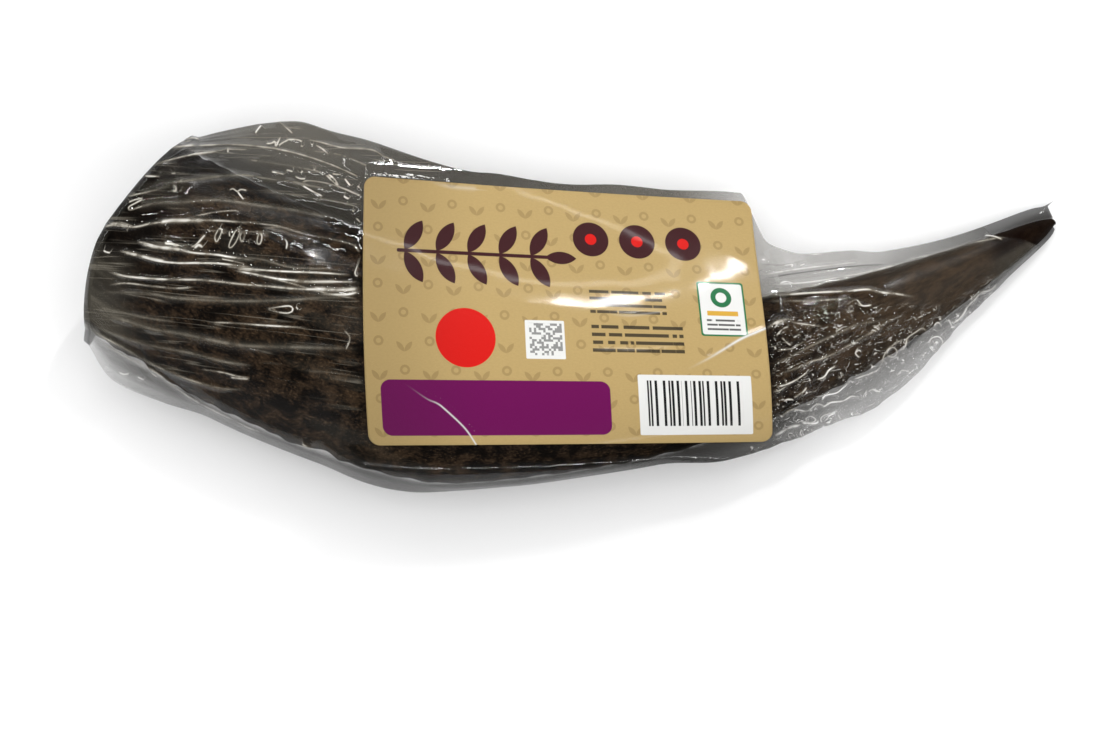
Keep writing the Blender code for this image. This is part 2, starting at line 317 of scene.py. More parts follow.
def horn_section(share, angle, rise):
    """(across, height) of the horn's skin, raised by this much from its plain form."""
    half_width = along(HORN_WIDTH, share) / 2
    half_depth = along(HORN_THICKNESS, share) / 2
    taper = np.clip(half_depth / TIP_ROUNDS_UNDER, 0, 1)
    rise = rise * taper * (1 - RIDGE_ROUND_UNDERSIDE * np.clip(-np.sin(angle), 0, 1))
    across = (half_width + rise) * np.cos(angle)
    up = (half_depth + rise) * np.sin(angle) * (1 + KEEL * np.cos(angle))
    floor = -UNDERSIDE_FLAT * half_depth
    return across, np.maximum(up, floor) - floor + HORN_REST


RIDGE_WOBBLE = 0.35
RIDGE_PLAIN = 0.55
LUMP_HEIGHT = 0.35 * MM
LUMP_SIZE = 13 * MM
# The keel is chipped from the base up to about this share
CHIP_DEPTH = 2.2 * MM
CHIP_SIZE = (8 * MM, 30 * MM, 30 * MM)
CHIPS_END = 0.40
FIBRE_DEPTH = 0.09 * MM
FIBRE_SIZE = (9 * MM, 1.3 * MM, 1.3 * MM)
GRAIN_DEPTH = 0.05 * MM
GRAIN_SIZE = (2.2 * MM, 1.2 * MM, 1.2 * MM)
GROOVE_DEPTH = 0.55 * MM
RELIEF_ENDS = 0.12
RELIEF_AT_TIP = 0.25
# How the tip closes over, the scales of the cut base's rings and how far each one lies back
TIP_CLOSES = (0.05, 0.4, 0.7, 0.9)
TIP_BLUNT = 0.7 * MM
RIM_SCALES = (0.992, 0.965, 0.935, 0.905, HOLLOW_MOUTH)
RIM_BACK = (0.0, -0.5, -0.6, -0.4, 0.3)
RIM_BACK_UNIT = 0.4 * MM
RIM_ROUGH = 0.22 * MM
RIM_ROUGH_SIZE = 1.6 * MM
HOLLOW_NARROWS = 1.5
HOLLOW_RELIEF = 0.6
# Rings of the horn's skin to each ring of the hollow
HOLLOW_RING_STEP = 5


def horn_relief(share, angle):
    """Growth ridges of uneven height, broad lumps, lengthwise fibres and grain, in metres."""
    across, height = horn_section(share, angle, 0 * angle)
    straight = np.stack([share * SPINE_LENGTH + 0 * angle, across, height], -1)
    wobble = RIDGE_WOBBLE * noise(straight, (14 * MM, 11 * MM, 11 * MM), 1)
    crest = 0.5 - 0.5 * np.cos(2 * math.pi * (phase_of_share(share) + wobble))
    uneven = RIDGE_PLAIN + (1 - RIDGE_PLAIN) * noise(straight, (16 * MM, 12 * MM, 12 * MM), 2)
    ridges = along(RIDGE_HEIGHT, share) * crest * uneven
    lumps = LUMP_HEIGHT * (noise(straight, LUMP_SIZE, 3) - 1) / 2
    chips = np.clip(noise(straight, CHIP_SIZE, 14), 0, 1) * np.clip(-np.cos(angle), 0, 1) ** 2
    lumps = lumps - CHIP_DEPTH * chips * smooth_step(CHIPS_END - share, 0, 0.15)
    fibres = FIBRE_DEPTH * fractal(straight, FIBRE_SIZE, 2, 5)
    grain = GRAIN_DEPTH * fractal(straight, GRAIN_SIZE, 2, 8)
    # A few deep grooves where growth paused
    pause = noise(straight, (3.2 * MM, 26 * MM, 26 * MM), 11)
    grooves = -GROOVE_DEPTH * smooth_step(pause, 0.45, 0.95)
    fade = smooth_step(1 - share, 0.0, RELIEF_ENDS)
    kept = RELIEF_AT_TIP + (1 - RELIEF_AT_TIP) * fade
    return (ridges + lumps + fibres + grain + grooves * fade) * kept, straight


def horn_layer(share, angle, rise, scale=1.0):
    """Points on the horn's skin, or shrunk about the middle of the section for the hollow."""
    across, height = horn_section(share, angle, rise)
    plain = horn_section(share, angle, 0 * rise)[1]
    middle = (plain.max(axis=1, keepdims=True) + plain.min(axis=1, keepdims=True)) / 2
    across, height = across * scale, middle + (height - middle) * scale
    wave = BASE_WAVE * (0.6 * np.sin(2 * angle + 0.6) + 0.4 * np.sin(5 * angle))
    onward = base_fall(share, np.cos(angle)) + wave * np.clip(1 - share / BASE_WAVE_ENDS, 0, 1)
    return in_space(share + onward / SPINE_LENGTH, across, height)


def make_horn():
    angle = np.linspace(0, 2 * math.pi, HORN_AROUND, endpoint=False)[None, :]
    share = np.linspace(1, 0, HORN_RINGS)[:, None]
    share_grid = share + 0 * angle
    angle_grid = angle + 0 * share
    relief, straight = horn_relief(share_grid, angle_grid)
    skin = horn_layer(share_grid, angle_grid, relief)
    # The tip closes over in a few shrinking rings
    close = np.array(TIP_CLOSES)[:, None]
    centre = skin[:1].mean(axis=1, keepdims=True)
    tip = centre + (skin[:1] - centre) * close[..., None]
    tip[..., 0] += TIP_BLUNT * np.sqrt(1 - close**2)
    # The cut base: a rough rim, then the hollow
    zero = np.zeros((1, HORN_AROUND))
    rim = []
    for scale, back in zip(RIM_SCALES, RIM_BACK):
        ring = horn_layer(zero, angle, zero, scale)
        ring[..., 0] += back * RIM_BACK_UNIT + noise(ring, RIM_ROUGH_SIZE, 21) * RIM_ROUGH
        rim.append(ring)
    deep = (np.arange(1, HOLLOW_RINGS + 1) / HOLLOW_RINGS)[:, None]
    inside_share = HOLLOW_DEPTH * deep + 0 * angle
    inside_scale = np.maximum(HOLLOW_MOUTH * (1 - deep**HOLLOW_NARROWS), 0.01)
    alike = slice(0, HOLLOW_RINGS * HOLLOW_RING_STEP, HOLLOW_RING_STEP)
    inside = horn_layer(inside_share, angle + 0 * deep, HOLLOW_RELIEF * relief[::-1][alike], inside_scale)
    points = np.concatenate([tip, skin, *rim, inside])
    flow = np.concatenate([
        np.repeat(straight[:1], len(close), axis=0), straight,
        np.repeat(straight[-1:], len(RIM_SCALES), axis=0), straight[::-1][alike],
    ])
    faces = grid_faces(len(points), HORN_AROUND, True)
    count = points[..., 0].size
    caps = [list(range(HORN_AROUND)), list(range(count - HORN_AROUND, count))[::-1]]
    return make_object("goat_horn", points, [*faces.tolist(), *caps], {"flow": flow.reshape(-1, 3)})


# Card label

# Lines and creases are followed this many half widths to each side
FOLD_REACH = 4.0


def card_place(u, v):
    """(x, y) in plan of card points, whose u and v run from 0 to 1 across and up the card."""
    corners = np.array(LABEL_CORNERS) * MM
    u, v = u[..., None], v[..., None]
    lower = corners[0] * (1 - u) + corners[1] * u
    upper = corners[3] * (1 - u) + corners[2] * u
    return lower * (1 - v) + upper * v


def card_at(x, y):
    """(u, v) on the card of places in plan, found by stepping closer a few times."""
    u, v = np.full(x.shape, 0.5), np.full(x.shape, 0.5)
    step = 1e-4
    for _ in range(6):
        here = card_place(u, v)
        along_u = (card_place(u + step, v) - here) / step
        along_v = (card_place(u, v + step) - here) / step
        miss = np.stack([x, y], -1) - here
        area = along_u[..., 0] * along_v[..., 1] - along_u[..., 1] * along_v[..., 0]
        u = u + (miss[..., 0] * along_v[..., 1] - miss[..., 1] * along_v[..., 0]) / area
        v = v + (along_u[..., 0] * miss[..., 1] - along_u[..., 1] * miss[..., 0]) / area
    return u, v


def bend_terms(u, v):
    """The smooth bends that the card's height is made of."""
    one = np.ones(u.shape)
    return np.stack([one, u, u * u, v, u * v, u * u * v, v * v, u * v * v, v**3, u * v**3, v**4], -1)


def card_bend():
    """The bend of the part's own card, read back from its lower side."""
    node = frame["nodes"]["label"]
    corners = [v.co.copy() for v in node.data.vertices]
    surface = BVHTree.FromPolygons(corners, [tuple(p.vertices) for p in node.data.polygons])
    u, v = np.meshgrid(np.linspace(0.04, 0.96, 24), np.linspace(0.06, 0.94, 24))
    terms, heights = bend_terms(u.ravel(), v.ravel()), []
    for x, y in card_place(u.ravel(), v.ravel()):
        heights.append(surface.ray_cast(Vector((x, y, 0.0)), Vector((0, 0, 1)))[0].z)
    return np.linalg.lstsq(terms, np.array(heights), rcond=None)[0]


BEND = card_bend()
CARD_WIDTH = math.dist(LABEL_CORNERS[0], LABEL_CORNERS[1]) * MM
CARD_HEIGHT = math.dist(LABEL_CORNERS[0], LABEL_CORNERS[3]) * MM

# Creases in the card: picture places, height in mm, half width in picture pixels, how pale the painted
# highlight along it is
CARD_CREASES = (
    (((403, 382), (426, 398), (437, 403), (445, 409), (465, 428), (478, 447)), 0.26, 1.8, 0.95),
    (((684, 371), (711, 357), (739, 340), (757, 332), (769, 327)), 0.30, 3.0, 1.00),
    (((426, 181), (450, 187), (474, 189)), 0.08, 5.0, 0.25),
    (((600, 312), (628, 316), (660, 312)), 0.05, 3.0, 0.20),
)


def card_creases(points):
    """How far the creases lift the card, and (distance in half widths, paleness of the painted highlight, 0)
    of the nearest one.
    """
    picture = to_picture(points)
    lift = np.zeros(picture.shape[:-1])
    nearest = np.zeros((*lift.shape, 3))
    nearest[..., 0] = FOLD_REACH
    for knots, height, half_width, pale in CARD_CREASES:
        off, reached = near_line(picture, smooth_line(knots))
        off = off / half_width
        ends = smooth_step(reached, 0, 0.6) * smooth_step(1 - reached, -0.6, 0.1)
        lift = lift + height * MM * ends * np.exp(-off**2)
        line = pale * ends * smooth_step(FOLD_REACH - np.abs(off), 1.0, 2.0)
        nearer = np.abs(off) < np.abs(nearest[..., 0])
        nearest = np.where(nearer[..., None], np.stack([off, line, 0 * off], -1), nearest)
    return lift, nearest


def make_label():
    steps = np.linspace(0.03, 1, CORNER_STEPS) * math.pi / 2
    rise = LABEL_CORNER_RADIUS / CARD_HEIGHT * (1 - np.cos(steps))
    inset = LABEL_CORNER_RADIUS / CARD_WIDTH * (1 - np.sin(steps))
    middle = np.linspace(rise[-1], 1 - rise[-1], LABEL_ROWS + 1)[1:-1]
    v = np.concatenate([rise, middle, 1 - rise[::-1]])[:, None]
    inset = np.concatenate([inset, 0 * middle, inset[::-1]])[:, None]
    u = inset + (1 - 2 * inset) * np.linspace(0, 1, LABEL_COLUMNS + 1)[None, :]
    v = v + 0 * u
    height = bend_terms(u, v) @ BEND
    points = np.concatenate([card_place(u, v), height[..., None]], -1)
    lift, crease_highlight = card_creases(points)
    points[..., 2] += lift + 0.05 * MM * fractal(points, 9 * MM, 2, 31)
    card = np.stack([u * CARD_WIDTH / MM, v * CARD_HEIGHT / MM, 0 * u], -1)
    attributes = {"card": card.reshape(-1, 3), "crease_highlight": crease_highlight.reshape(-1, 3)}
    made = make_object("card_label", points, grid_faces(*u.shape, False).tolist(), attributes)
    thicken = made.modifiers.new("thickness", "SOLIDIFY")
    thicken.thickness = LABEL_THICKNESS
    thicken.offset = 1.0
    thicken.material_offset = 1
    thicken.material_offset_rim = 1
    return made


# Film sleeve

def tip_cut(direction):
    """Where the film ends in each direction of the section."""
    return np.interp(np.degrees(direction), *zip(*FILM_TIP_CUT))


def film_outline(share, direction, to_tip=0.0, lip=0.0):
    """Rows of (x, y, z, across, share) on the film round the horn, one for each direction of the section."""
    around = np.linspace(0, 2 * math.pi, SECTION_POINTS, endpoint=False)
    here = share + (tip_cut(direction) - share) * to_tip
    cut_at = np.maximum(here, 0.0)
    toward = np.stack([np.cos(direction), np.sin(direction)], -1)
    reach = FILM_GAP + FILM_MIDDLE
    if to_tip:
        sections = [horn_section(np.array(s), around, along(RIDGE_HEIGHT, s)) for s in cut_at]
        across_all = np.array([s[0] for s in sections])
        height_all = np.array([s[1] for s in sections])
    else:
        level = max(share, 0.0)
        across_all, height_all = horn_section(np.array(level), around, along(RIDGE_HEIGHT, level))
        across_all, height_all = across_all[None, :], height_all[None, :]
    lift = HORN_REST + along(HORN_THICKNESS, cut_at) * WEB_HEIGHT
    rows = np.arange(len(direction)) if to_tip else np.zeros(len(direction), int)
    inner = across_all.max(axis=1)[rows] + along(WEB_INSIDE_CURVE, cut_at)
    outer = across_all.min(axis=1)[rows] - along(WEB_OUTSIDE_CURVE, cut_at)
    pull = across_all[rows] * toward[:, :1] + height_all[rows] * toward[:, 1:]
    far = pull.argmax(axis=1)
    across = across_all[rows, far]
    height = height_all[rows, far]
    best = pull.max(axis=1)
    for edge in (inner, outer):
        score = edge * toward[:, 0] + lift * toward[:, 1]
        across = np.where(score > best, edge, across)
        height = np.where(score > best, lift, height)
        best = np.maximum(best, score)
    across = across + reach * toward[:, 0]
    height = height + reach * toward[:, 1]
    half_width = along(HORN_WIDTH, share) / 2
    onward = base_fall(share, across / half_width)
    if lip:
        middle = HORN_REST + along(HORN_THICKNESS, 0.0) * UNDERSIDE_FLAT / 2
        length = np.hypot(across, height - middle)
        across = across * (1 - lip / length)
        height = middle + (height - middle) * (1 - lip / length)
    points = in_space(here + onward / SPINE_LENGTH, across, height)
    return np.concatenate([points, across[:, None], here[:, None]], -1)


def spread(outline, count):
    """The outline's rows again, evenly spaced along it."""
    lengths = np.linalg.norm(np.diff(outline[:, :3], axis=0), axis=1)
    run = np.concatenate([[0.0], np.cumsum(lengths)])
    wanted = np.linspace(0, run[-1], count)
    return np.stack([np.interp(wanted, run, outline[:, i]) for i in range(outline.shape[1])], -1)


def film_ring(share, to_tip=0.0, lip=0.0):
    """A ring of the film: over the top from the web inside the curve to the outer one, and back under."""
    top = film_outline(share, np.linspace(0, math.pi, 241), to_tip, lip)
    under = film_outline(share, np.linspace(math.pi, 2 * math.pi, 121), to_tip, lip)
    return np.concatenate([spread(top, FILM_TOP + 1), spread(under, FILM_UNDER + 1)[1:-1]])


def film_shares():
    """Shares of the spine for the film's rings, closer where the folds show."""
    at = np.array([k[0] for k in FILM_RING_DENSITY])
    density = np.array([k[1] for k in FILM_RING_DENSITY])
    fine = np.linspace(0, FILM_STRAIGHT_END, 2000)
    total = np.cumsum(np.interp(fine, at, density))
    total = (total - total[0]) / (total[-1] - total[0])
    return np.interp(np.linspace(0, 1, FILM_RINGS), total, fine)


# Folds in the film: height in mm, half width in picture pixels, the veil beside the fold, how pale the line
# along its crest is, which is partly whitened film and mostly a painted highlight, or how dark where it is
# below zero, and then its picture places, x and y in turn
BASE_FOLDS = (
    (0.20, 2.2, 0.04, 0.60, 184, 140, 192, 138, 200, 140),
    (0.18, 2.0, 0.03, 0.50, 176, 143, 184, 142, 192, 141),
    (0.28, 2.4, 0.05, 0.50, 166, 148, 207, 146, 229, 145, 260, 147, 297, 154, 329, 164, 348, 172, 363, 179),
    (0.20, 3.4, 0.04, 0.60, 164, 148, 180, 147, 197, 146),
    (0.26, 2.6, 0.06, 0.55, 151, 165, 172, 160, 195, 155, 212, 153, 228, 150, 256, 150),
    (0.20, 3.2, 0.04, 0.55, 190, 156, 205, 154, 220, 151),
    (0.20, 2.4, 0.03, 0.45, 304, 139, 322, 143, 342, 148, 371, 150, 385, 157, 400, 162),
    (0.16, 3.6, 0.05, 0.15, 302, 150, 340, 155, 372, 168),
    (0.16, 3.4, 0.05, 0.12, 240, 159, 271, 163, 300, 168, 330, 174),
    (0.30, 4.2, 0.12, 0.15, 149, 185, 165, 183, 183, 182, 212, 178, 241, 176, 266, 179, 290, 182, 309, 186,
        349, 192),
    (0.22, 2.6, 0.04, 0.40, 301, 183, 310, 181, 329, 184, 349, 191, 364, 199),
    (0.20, 3.8, 0.07, 0.08, 259, 189, 291, 195, 316, 198, 342, 203, 366, 209),
    (0.24, 2.6, 0.04, 0.45, 124, 197, 144, 193, 160, 189, 171, 185),
    (0.36, 4.2, 0.12, 0.14, 131, 210, 144, 206, 160, 203, 179, 203, 200, 201, 224, 201, 260, 206, 291, 210,
        317, 215, 363, 223),
    (0.22, 2.4, 0.03, 0.35, 189, 218, 212, 213, 229, 211, 241, 211),
    (0.55, 3.2, 0.05, 0.85, 102, 228, 112, 225, 134, 227, 150, 224, 168, 222, 190, 221, 218, 221, 260, 224),
    (0.30, 5.0, 0.02, 1.00, 108, 225, 118, 224, 132, 227),
    (0.25, 3.0, 0.02, 0.90, 118, 222, 126, 224, 134, 227),
    (0.40, 5.4, 0.03, 1.20, 158, 223, 172, 221, 188, 221, 206, 221),
    (0.35, 2.8, 0.06, 0.42, 240, 222, 260, 224, 281, 227, 297, 232, 319, 237, 339, 241, 355, 246, 360, 252),
    (0.50, 3.2, 0.04, 0.95, 136, 242, 145, 243, 160, 247, 179, 250, 195, 253, 218, 255, 229, 257, 260, 261),
    (0.35, 5.2, 0.02, 1.10, 140, 243, 158, 247, 176, 249, 192, 252),
    (0.30, 4.4, 0.02, 1.00, 164, 243, 172, 244, 180, 246),
    (0.30, 3.0, 0.02, 0.90, 190, 248, 196, 245, 200, 241, 206, 234),
    (0.25, 4.0, 0.02, 0.90, 194, 249, 199, 245, 203, 248),
    (0.25, 2.4, 0.02, 0.80, 103, 250, 107, 252, 112, 253),
    (0.50, 3.0, 0.05, 0.85, 118, 251, 132, 253, 144, 257, 160, 261, 179, 263, 200, 263, 224, 264, 260, 269),
    (0.30, 4.6, 0.02, 0.95, 124, 252, 138, 255, 154, 259, 168, 262),
    (0.22, 2.2, 0.02, 0.80, 221, 259, 232, 261, 245, 264),
    (0.25, 3.0, 0.06, 0.15, 200, 262, 240, 258, 264, 260, 288, 267, 317, 269, 334, 267),
    (0.45, 2.8, 0.05, 0.75, 225, 266, 240, 268, 259, 270, 291, 272, 317, 273, 352, 275),
    (0.25, 4.0, 0.02, 0.90, 236, 269, 248, 270, 262, 271),
    (0.50, 3.0, 0.06, 0.95, 232, 270, 253, 274, 278, 279, 304, 281, 329, 282, 360, 282),
    (0.25, 4.2, 0.02, 0.90, 290, 281, 312, 282, 340, 282),
    (0.50, 3.2, 0.06, 0.75, 106, 271, 127, 276, 162, 279, 204, 280, 240, 284, 265, 286, 297, 289, 329, 290,
        360, 290),
    (0.35, 5.6, 0.02, 1.10, 309, 289, 330, 290, 346, 290, 359, 289),
    (0.35, 3.6, 0.04, 0.95, 319, 294, 342, 295, 352, 294, 362, 291),
    (0.32, 2.6, 0.05, 0.45, 261, 276, 290, 283, 309, 289, 338, 296, 359, 299),
    (0.28, 2.6, 0.03, 0.45, 108, 285, 127, 283, 152, 286, 177, 288, 195, 287),
    (0.38, 4.0, 0.11, 0.18, 93, 292, 147, 293, 177, 298, 235, 301, 291, 300, 317, 298, 357, 297),
    (0.28, 3.4, 0.08, 0.12, 95, 307, 122, 312, 150, 318, 178, 322),
    (0.42, 5.0, 0.12, 0.16, 93, 313, 122, 319, 150, 328, 185, 334, 242, 345, 300, 347, 366, 349),
    (0.36, 4.2, 0.10, 0.16, 89, 323, 118, 335, 150, 345, 192, 353, 223, 361, 255, 366),
    (0.42, 3.2, 0.06, 0.30, 90, 328, 120, 345, 162, 368, 212, 386, 246, 390),
    (0.26, 2.6, 0.02, 0.80, 206, 322, 235, 323, 261, 325, 311, 328),
    (0.24, 2.6, 0.02, 0.50, 200, 369, 222, 372, 238, 376, 252, 378),
    (0.20, 2.8, 0.02, 0.90, 230, 377, 240, 378, 250, 379),
    (0.30, 2.8, 0.04, 0.35, 91, 336, 127, 357, 154, 370, 189, 396, 242, 424, 265, 434),
    (0.25, 3.0, 0.02, 0.90, 301, 443, 306, 446, 312, 449),
)
TIP_FOLDS = (
    (0.25, 2.6, 0.10, 0.50, 762, 275, 794, 270, 827, 266, 860, 262),
    (0.25, 2.4, 0.00, -0.70, 762, 279, 794, 274, 827, 270, 861, 266, 900, 264),
    (0.25, 2.4, 0.00, -0.45, 758, 264, 783, 265, 806, 260),
    (0.30, 2.6, 0.05, 0.55, 766, 285, 805, 283, 844, 277, 874, 271, 900, 264),
    (0.22, 2.6, 0.04, 0.30, 900, 262, 930, 255, 975, 243, 1010, 236),
    (0.55, 3.2, 0.05, 0.95, 768, 296, 805, 294, 844, 292, 868, 290, 881, 293, 896, 294, 915, 297),
    (0.26, 3.0, 0.06, 0.30, 768, 301, 816, 301, 853, 298),
    (0.50, 3.4, 0.03, 1.10, 760, 333, 766, 329, 772, 325, 780, 321, 788, 320, 795, 323),
    (0.30, 6.0, 0.02, 1.00, 774, 325, 780, 322, 787, 320),
    (0.30, 2.8, 0.05, 0.55, 786, 320, 794, 323, 801, 324, 826, 327),
    (0.34, 3.6, 0.09, 0.28, 768, 366, 788, 358, 799, 352, 808, 347, 829, 337, 846, 329, 860, 324, 898, 318),
    (0.34, 3.2, 0.08, 0.30, 772, 377, 798, 367, 811, 361, 829, 355, 852, 343, 867, 334, 890, 320, 907, 314),
    (0.30, 2.6, 0.03, 0.85, 776, 387, 789, 383, 799, 378, 809, 370),
    (0.30, 2.6, 0.03, 0.85, 816, 380, 824, 376, 829, 369, 837, 364),
    (0.28, 2.4, 0.03, 0.60, 771, 392, 780, 390, 786, 384, 784, 378),
    (0.28, 2.6, 0.03, 0.90, 793, 398, 798, 394, 803, 391, 807, 386),
    (0.34, 2.6, 0.04, 0.90, 821, 401, 824, 395, 836, 392, 843, 387, 849, 382),
    (0.30, 2.6, 0.05, 0.60, 852, 380, 858, 377, 870, 373, 878, 369, 882, 361, 886, 349, 898, 341, 903, 339),
    (0.40, 2.6, 0.05, 0.75, 768, 413, 780, 416, 791, 409, 806, 410, 815, 404, 820, 404, 824, 406, 830, 402,
        843, 400, 852, 396, 864, 397, 867, 390, 876, 391),
    (0.34, 2.8, 0.05, 0.85, 902, 352, 905, 344, 907, 338, 914, 332, 922, 328, 927, 333),
    (0.10, 9.0, 0.00, -0.85, 904, 349, 912, 341, 922, 332),
    (0.40, 4.4, 0.04, 1.10, 770, 439, 777, 434, 782, 431, 790, 427, 803, 424),
    (0.30, 4.0, 0.03, 0.90, 800, 422, 814, 423, 818, 420),
    (0.40, 3.0, 0.12, 0.60, 946, 324, 957, 320, 968, 305, 978, 294, 991, 288, 1000, 281),
    (0.30, 2.4, 0.02, 0.90, 984, 236, 993, 237, 1003, 240),
)
# Small loops, hooks and strokes in the film, pale as painted highlights over a little relief: their picture
# places, x and y in turn
SQUIGGLES = (
    (219, 228, 222, 231, 217, 242, 215, 237, 219, 228), (208, 228, 210, 233), (222, 229, 223, 235),
    (229, 231, 230, 238), (237, 228, 240, 232, 236, 242, 231, 248, 229, 246, 232, 238, 237, 228),
    (243, 231, 245, 235, 242, 242, 240, 237, 243, 231), (248, 239, 249, 244),
    (260, 232, 262, 237, 260, 244, 257, 243, 258, 236, 260, 232), (284, 238, 287, 243, 286, 250),
    (354, 246, 360, 252), (361, 256, 358, 264, 355, 274, 359, 277), (127, 203, 135, 200, 144, 198),
    (144, 199, 136, 203, 129, 207, 130, 210, 137, 208, 144, 206), (171, 174, 176, 173),
    (143, 176, 161, 177), (172, 185, 176, 188, 175, 192, 172, 189), (165, 157, 167, 159),
    (127, 231, 129, 231), (164, 230, 165, 231), (179, 182, 181, 183), (179, 191, 181, 193),
    (228, 191, 233, 189, 237, 192, 241, 190, 248, 191), (237, 192, 241, 197, 244, 201),
    (228, 148, 228, 154), (262, 125, 255, 134), (277, 120, 285, 127, 293, 134),
    (315, 145, 322, 149, 329, 155), (266, 144, 271, 144, 275, 142, 276, 147, 281, 136),
    (278, 147, 283, 143, 289, 140), (286, 140, 296, 140, 303, 142), (300, 146, 304, 147),
    (310, 145, 314, 145), (271, 172, 285, 175), (286, 170, 293, 172), (294, 176, 300, 179, 306, 179),
    (300, 174, 303, 171), (313, 170, 316, 170), (325, 174, 332, 181, 338, 186, 335, 180, 328, 174),
    (332, 174, 342, 175), (344, 178, 351, 187), (302, 186, 311, 191, 323, 197), (343, 196, 350, 200),
    (352, 193, 366, 197), (357, 186, 366, 192), (351, 210, 355, 212), (360, 208, 366, 211),
    (356, 218, 362, 224), (266, 309, 278, 307, 290, 306, 293, 310, 288, 313, 278, 312, 266, 309),
    (295, 305, 299, 311), (344, 330, 350, 338, 346, 350), (107, 340, 108, 342), (104, 366, 110, 369),
    (118, 371, 124, 374, 130, 373), (137, 376, 145, 380), (150, 372, 158, 377), (120, 384, 127, 388),
    (173, 389, 176, 391), (210, 403, 212, 405), (783, 266, 792, 265, 791, 268), (799, 266, 806, 264),
    (811, 255, 822, 254), (827, 253, 838, 251), (779, 284, 786, 282, 794, 285),
    (846, 305, 856, 300, 862, 306, 872, 305), (775, 337, 783, 329, 789, 327),
    (781, 337, 786, 342, 791, 346), (793, 338, 800, 334), (777, 350, 791, 349, 798, 345, 804, 341),
    (774, 346, 776, 350), (783, 401, 789, 399, 794, 400), (776, 405, 780, 404), (837, 376, 841, 377),
    (886, 355, 887, 349, 893, 347, 897, 352, 893, 357, 886, 355), (858, 347, 855, 353, 860, 358),
    (806, 421, 805, 418, 810, 416, 815, 419, 811, 422, 806, 421), (822, 423, 820, 418, 826, 414, 837, 413),
    (838, 414, 840, 418, 844, 420), (852, 414, 859, 413, 861, 416, 858, 420), (787, 434, 792, 440),
    (801, 428, 800, 434, 805, 437), (810, 428, 813, 434), (868, 392, 873, 389, 880, 392),
    (896, 377, 902, 370, 913, 374), (928, 344, 930, 338, 937, 336, 942, 341, 940, 349, 933, 351, 928, 344),
    (932, 344, 935, 341, 938, 344), (933, 326, 937, 322, 942, 326), (948, 318, 951, 325, 955, 329),
)
SQUIGGLE_HEIGHT = 0.22
SQUIGGLE_HALF_WIDTH = 2.3
SQUIGGLE_HIGHLIGHT = 0.9
# Folds are put in a few sets with little overlap, and each point of the film knows each set's nearest fold
FOLD_SETS = 6
# How far the haze beside a fold reaches, in the fold's half widths
FOLD_HAZE_WIDTH = 0.85
FOLD_HAZE = 0.62
# The share of a fold over which each of its ends fades out, and of a small stroke in picture pixels
FOLD_FADE = 0.16
STROKE_FADE = 3.0
# A fold's height is this and up to that much more or less, changing every so many picture pixels
FOLD_PLAIN = 0.75
FOLD_UNEVEN = 0.35
UNEVEN_EVERY = 26
STREAKS_END = 0.46
# How far beside the card the film starts to rise to it and has risen, and where its folds start and are full
FILM_RISES_FROM = 17 * MM
FILM_RISEN_AT = 0.3 * MM
FREE_FROM = 0.2 * MM
FREE_AT = 2.5 * MM
FINE_PLEATS = 0.14 * MM
FINE_PLEATS_END = 0.26
CRINKLE_HEIGHT = 0.42 * MM
CRINKLE_TURN = math.radians(12)
WAVE_HEIGHT = 0.05 * MM
WAVE_SIZE = (24 * MM, 5 * MM)
OVER_HORN_TONE = 0.36
OVER_HORN_VEIL = 0.003
# Patches of veil over the horn: partly the film's haze, partly painted reflection
PATCH_HAZE_AND_REFLECTION = 0.026
WEB_VEIL_STARTS = -1.2 * MM
WEB_VEIL_FULL = 0.6 * MM
# How far the painted shadow in the inner web reaches from the horn's edge
WEB_SHADOW_WIDTH = 14.0 * MM
# The grey veil at the base's left edge: partly the gathered film's haze, partly painted reflection
BASE_HAZE_AND_REFLECTION = 0.18
TIP_VEIL = 0.02
TIP_SIDE_VEIL = 0.10
END_BAND = 0.004
END_VEIL = 0.85
# Above this line across the film's end, its tone is painted shade
END_SHADE_ABOVE = -7.0 * MM
END_SHADE_TONE = 0.012
END_TONE = 0.06
END_FADE = 8 * MM
# The sizes of the film's patches, clouds and wrinkles, and how far across the streaks start and are full
PATCH_SIZE = (38 * MM, 4.5 * MM)
CLOUD_SIZE = (30 * MM, 6 * MM)
WRINKLE_SIZE = (26 * MM, 1.6 * MM)
PLEATED_FROM = (-20 * MM, -6 * MM)
# Picture places, x to the right or y downward, between which a look of the film comes or goes
CRINKLE_TOP_X = (760, 800, 860, 910, 950, 985, 1010)
CRINKLE_TOP_Y = (322, 306, 300, 304, 304, 276, 262)
CRINKLE_STARTS_X = (735, 770)
CRINKLE_ENDS_X = (985, 1010)
CLINGS_X = (860, 925)
TIP_VEIL_X = (820, 900)
BASE_VEIL_ENDS_X = (88, 148)
BASE_VEIL_STARTS_Y = (240, 275)
DEEP_SHADE_ENDS_X = (115, 165)
DEEP_SHADE_ENDS_Y = (238, 248)
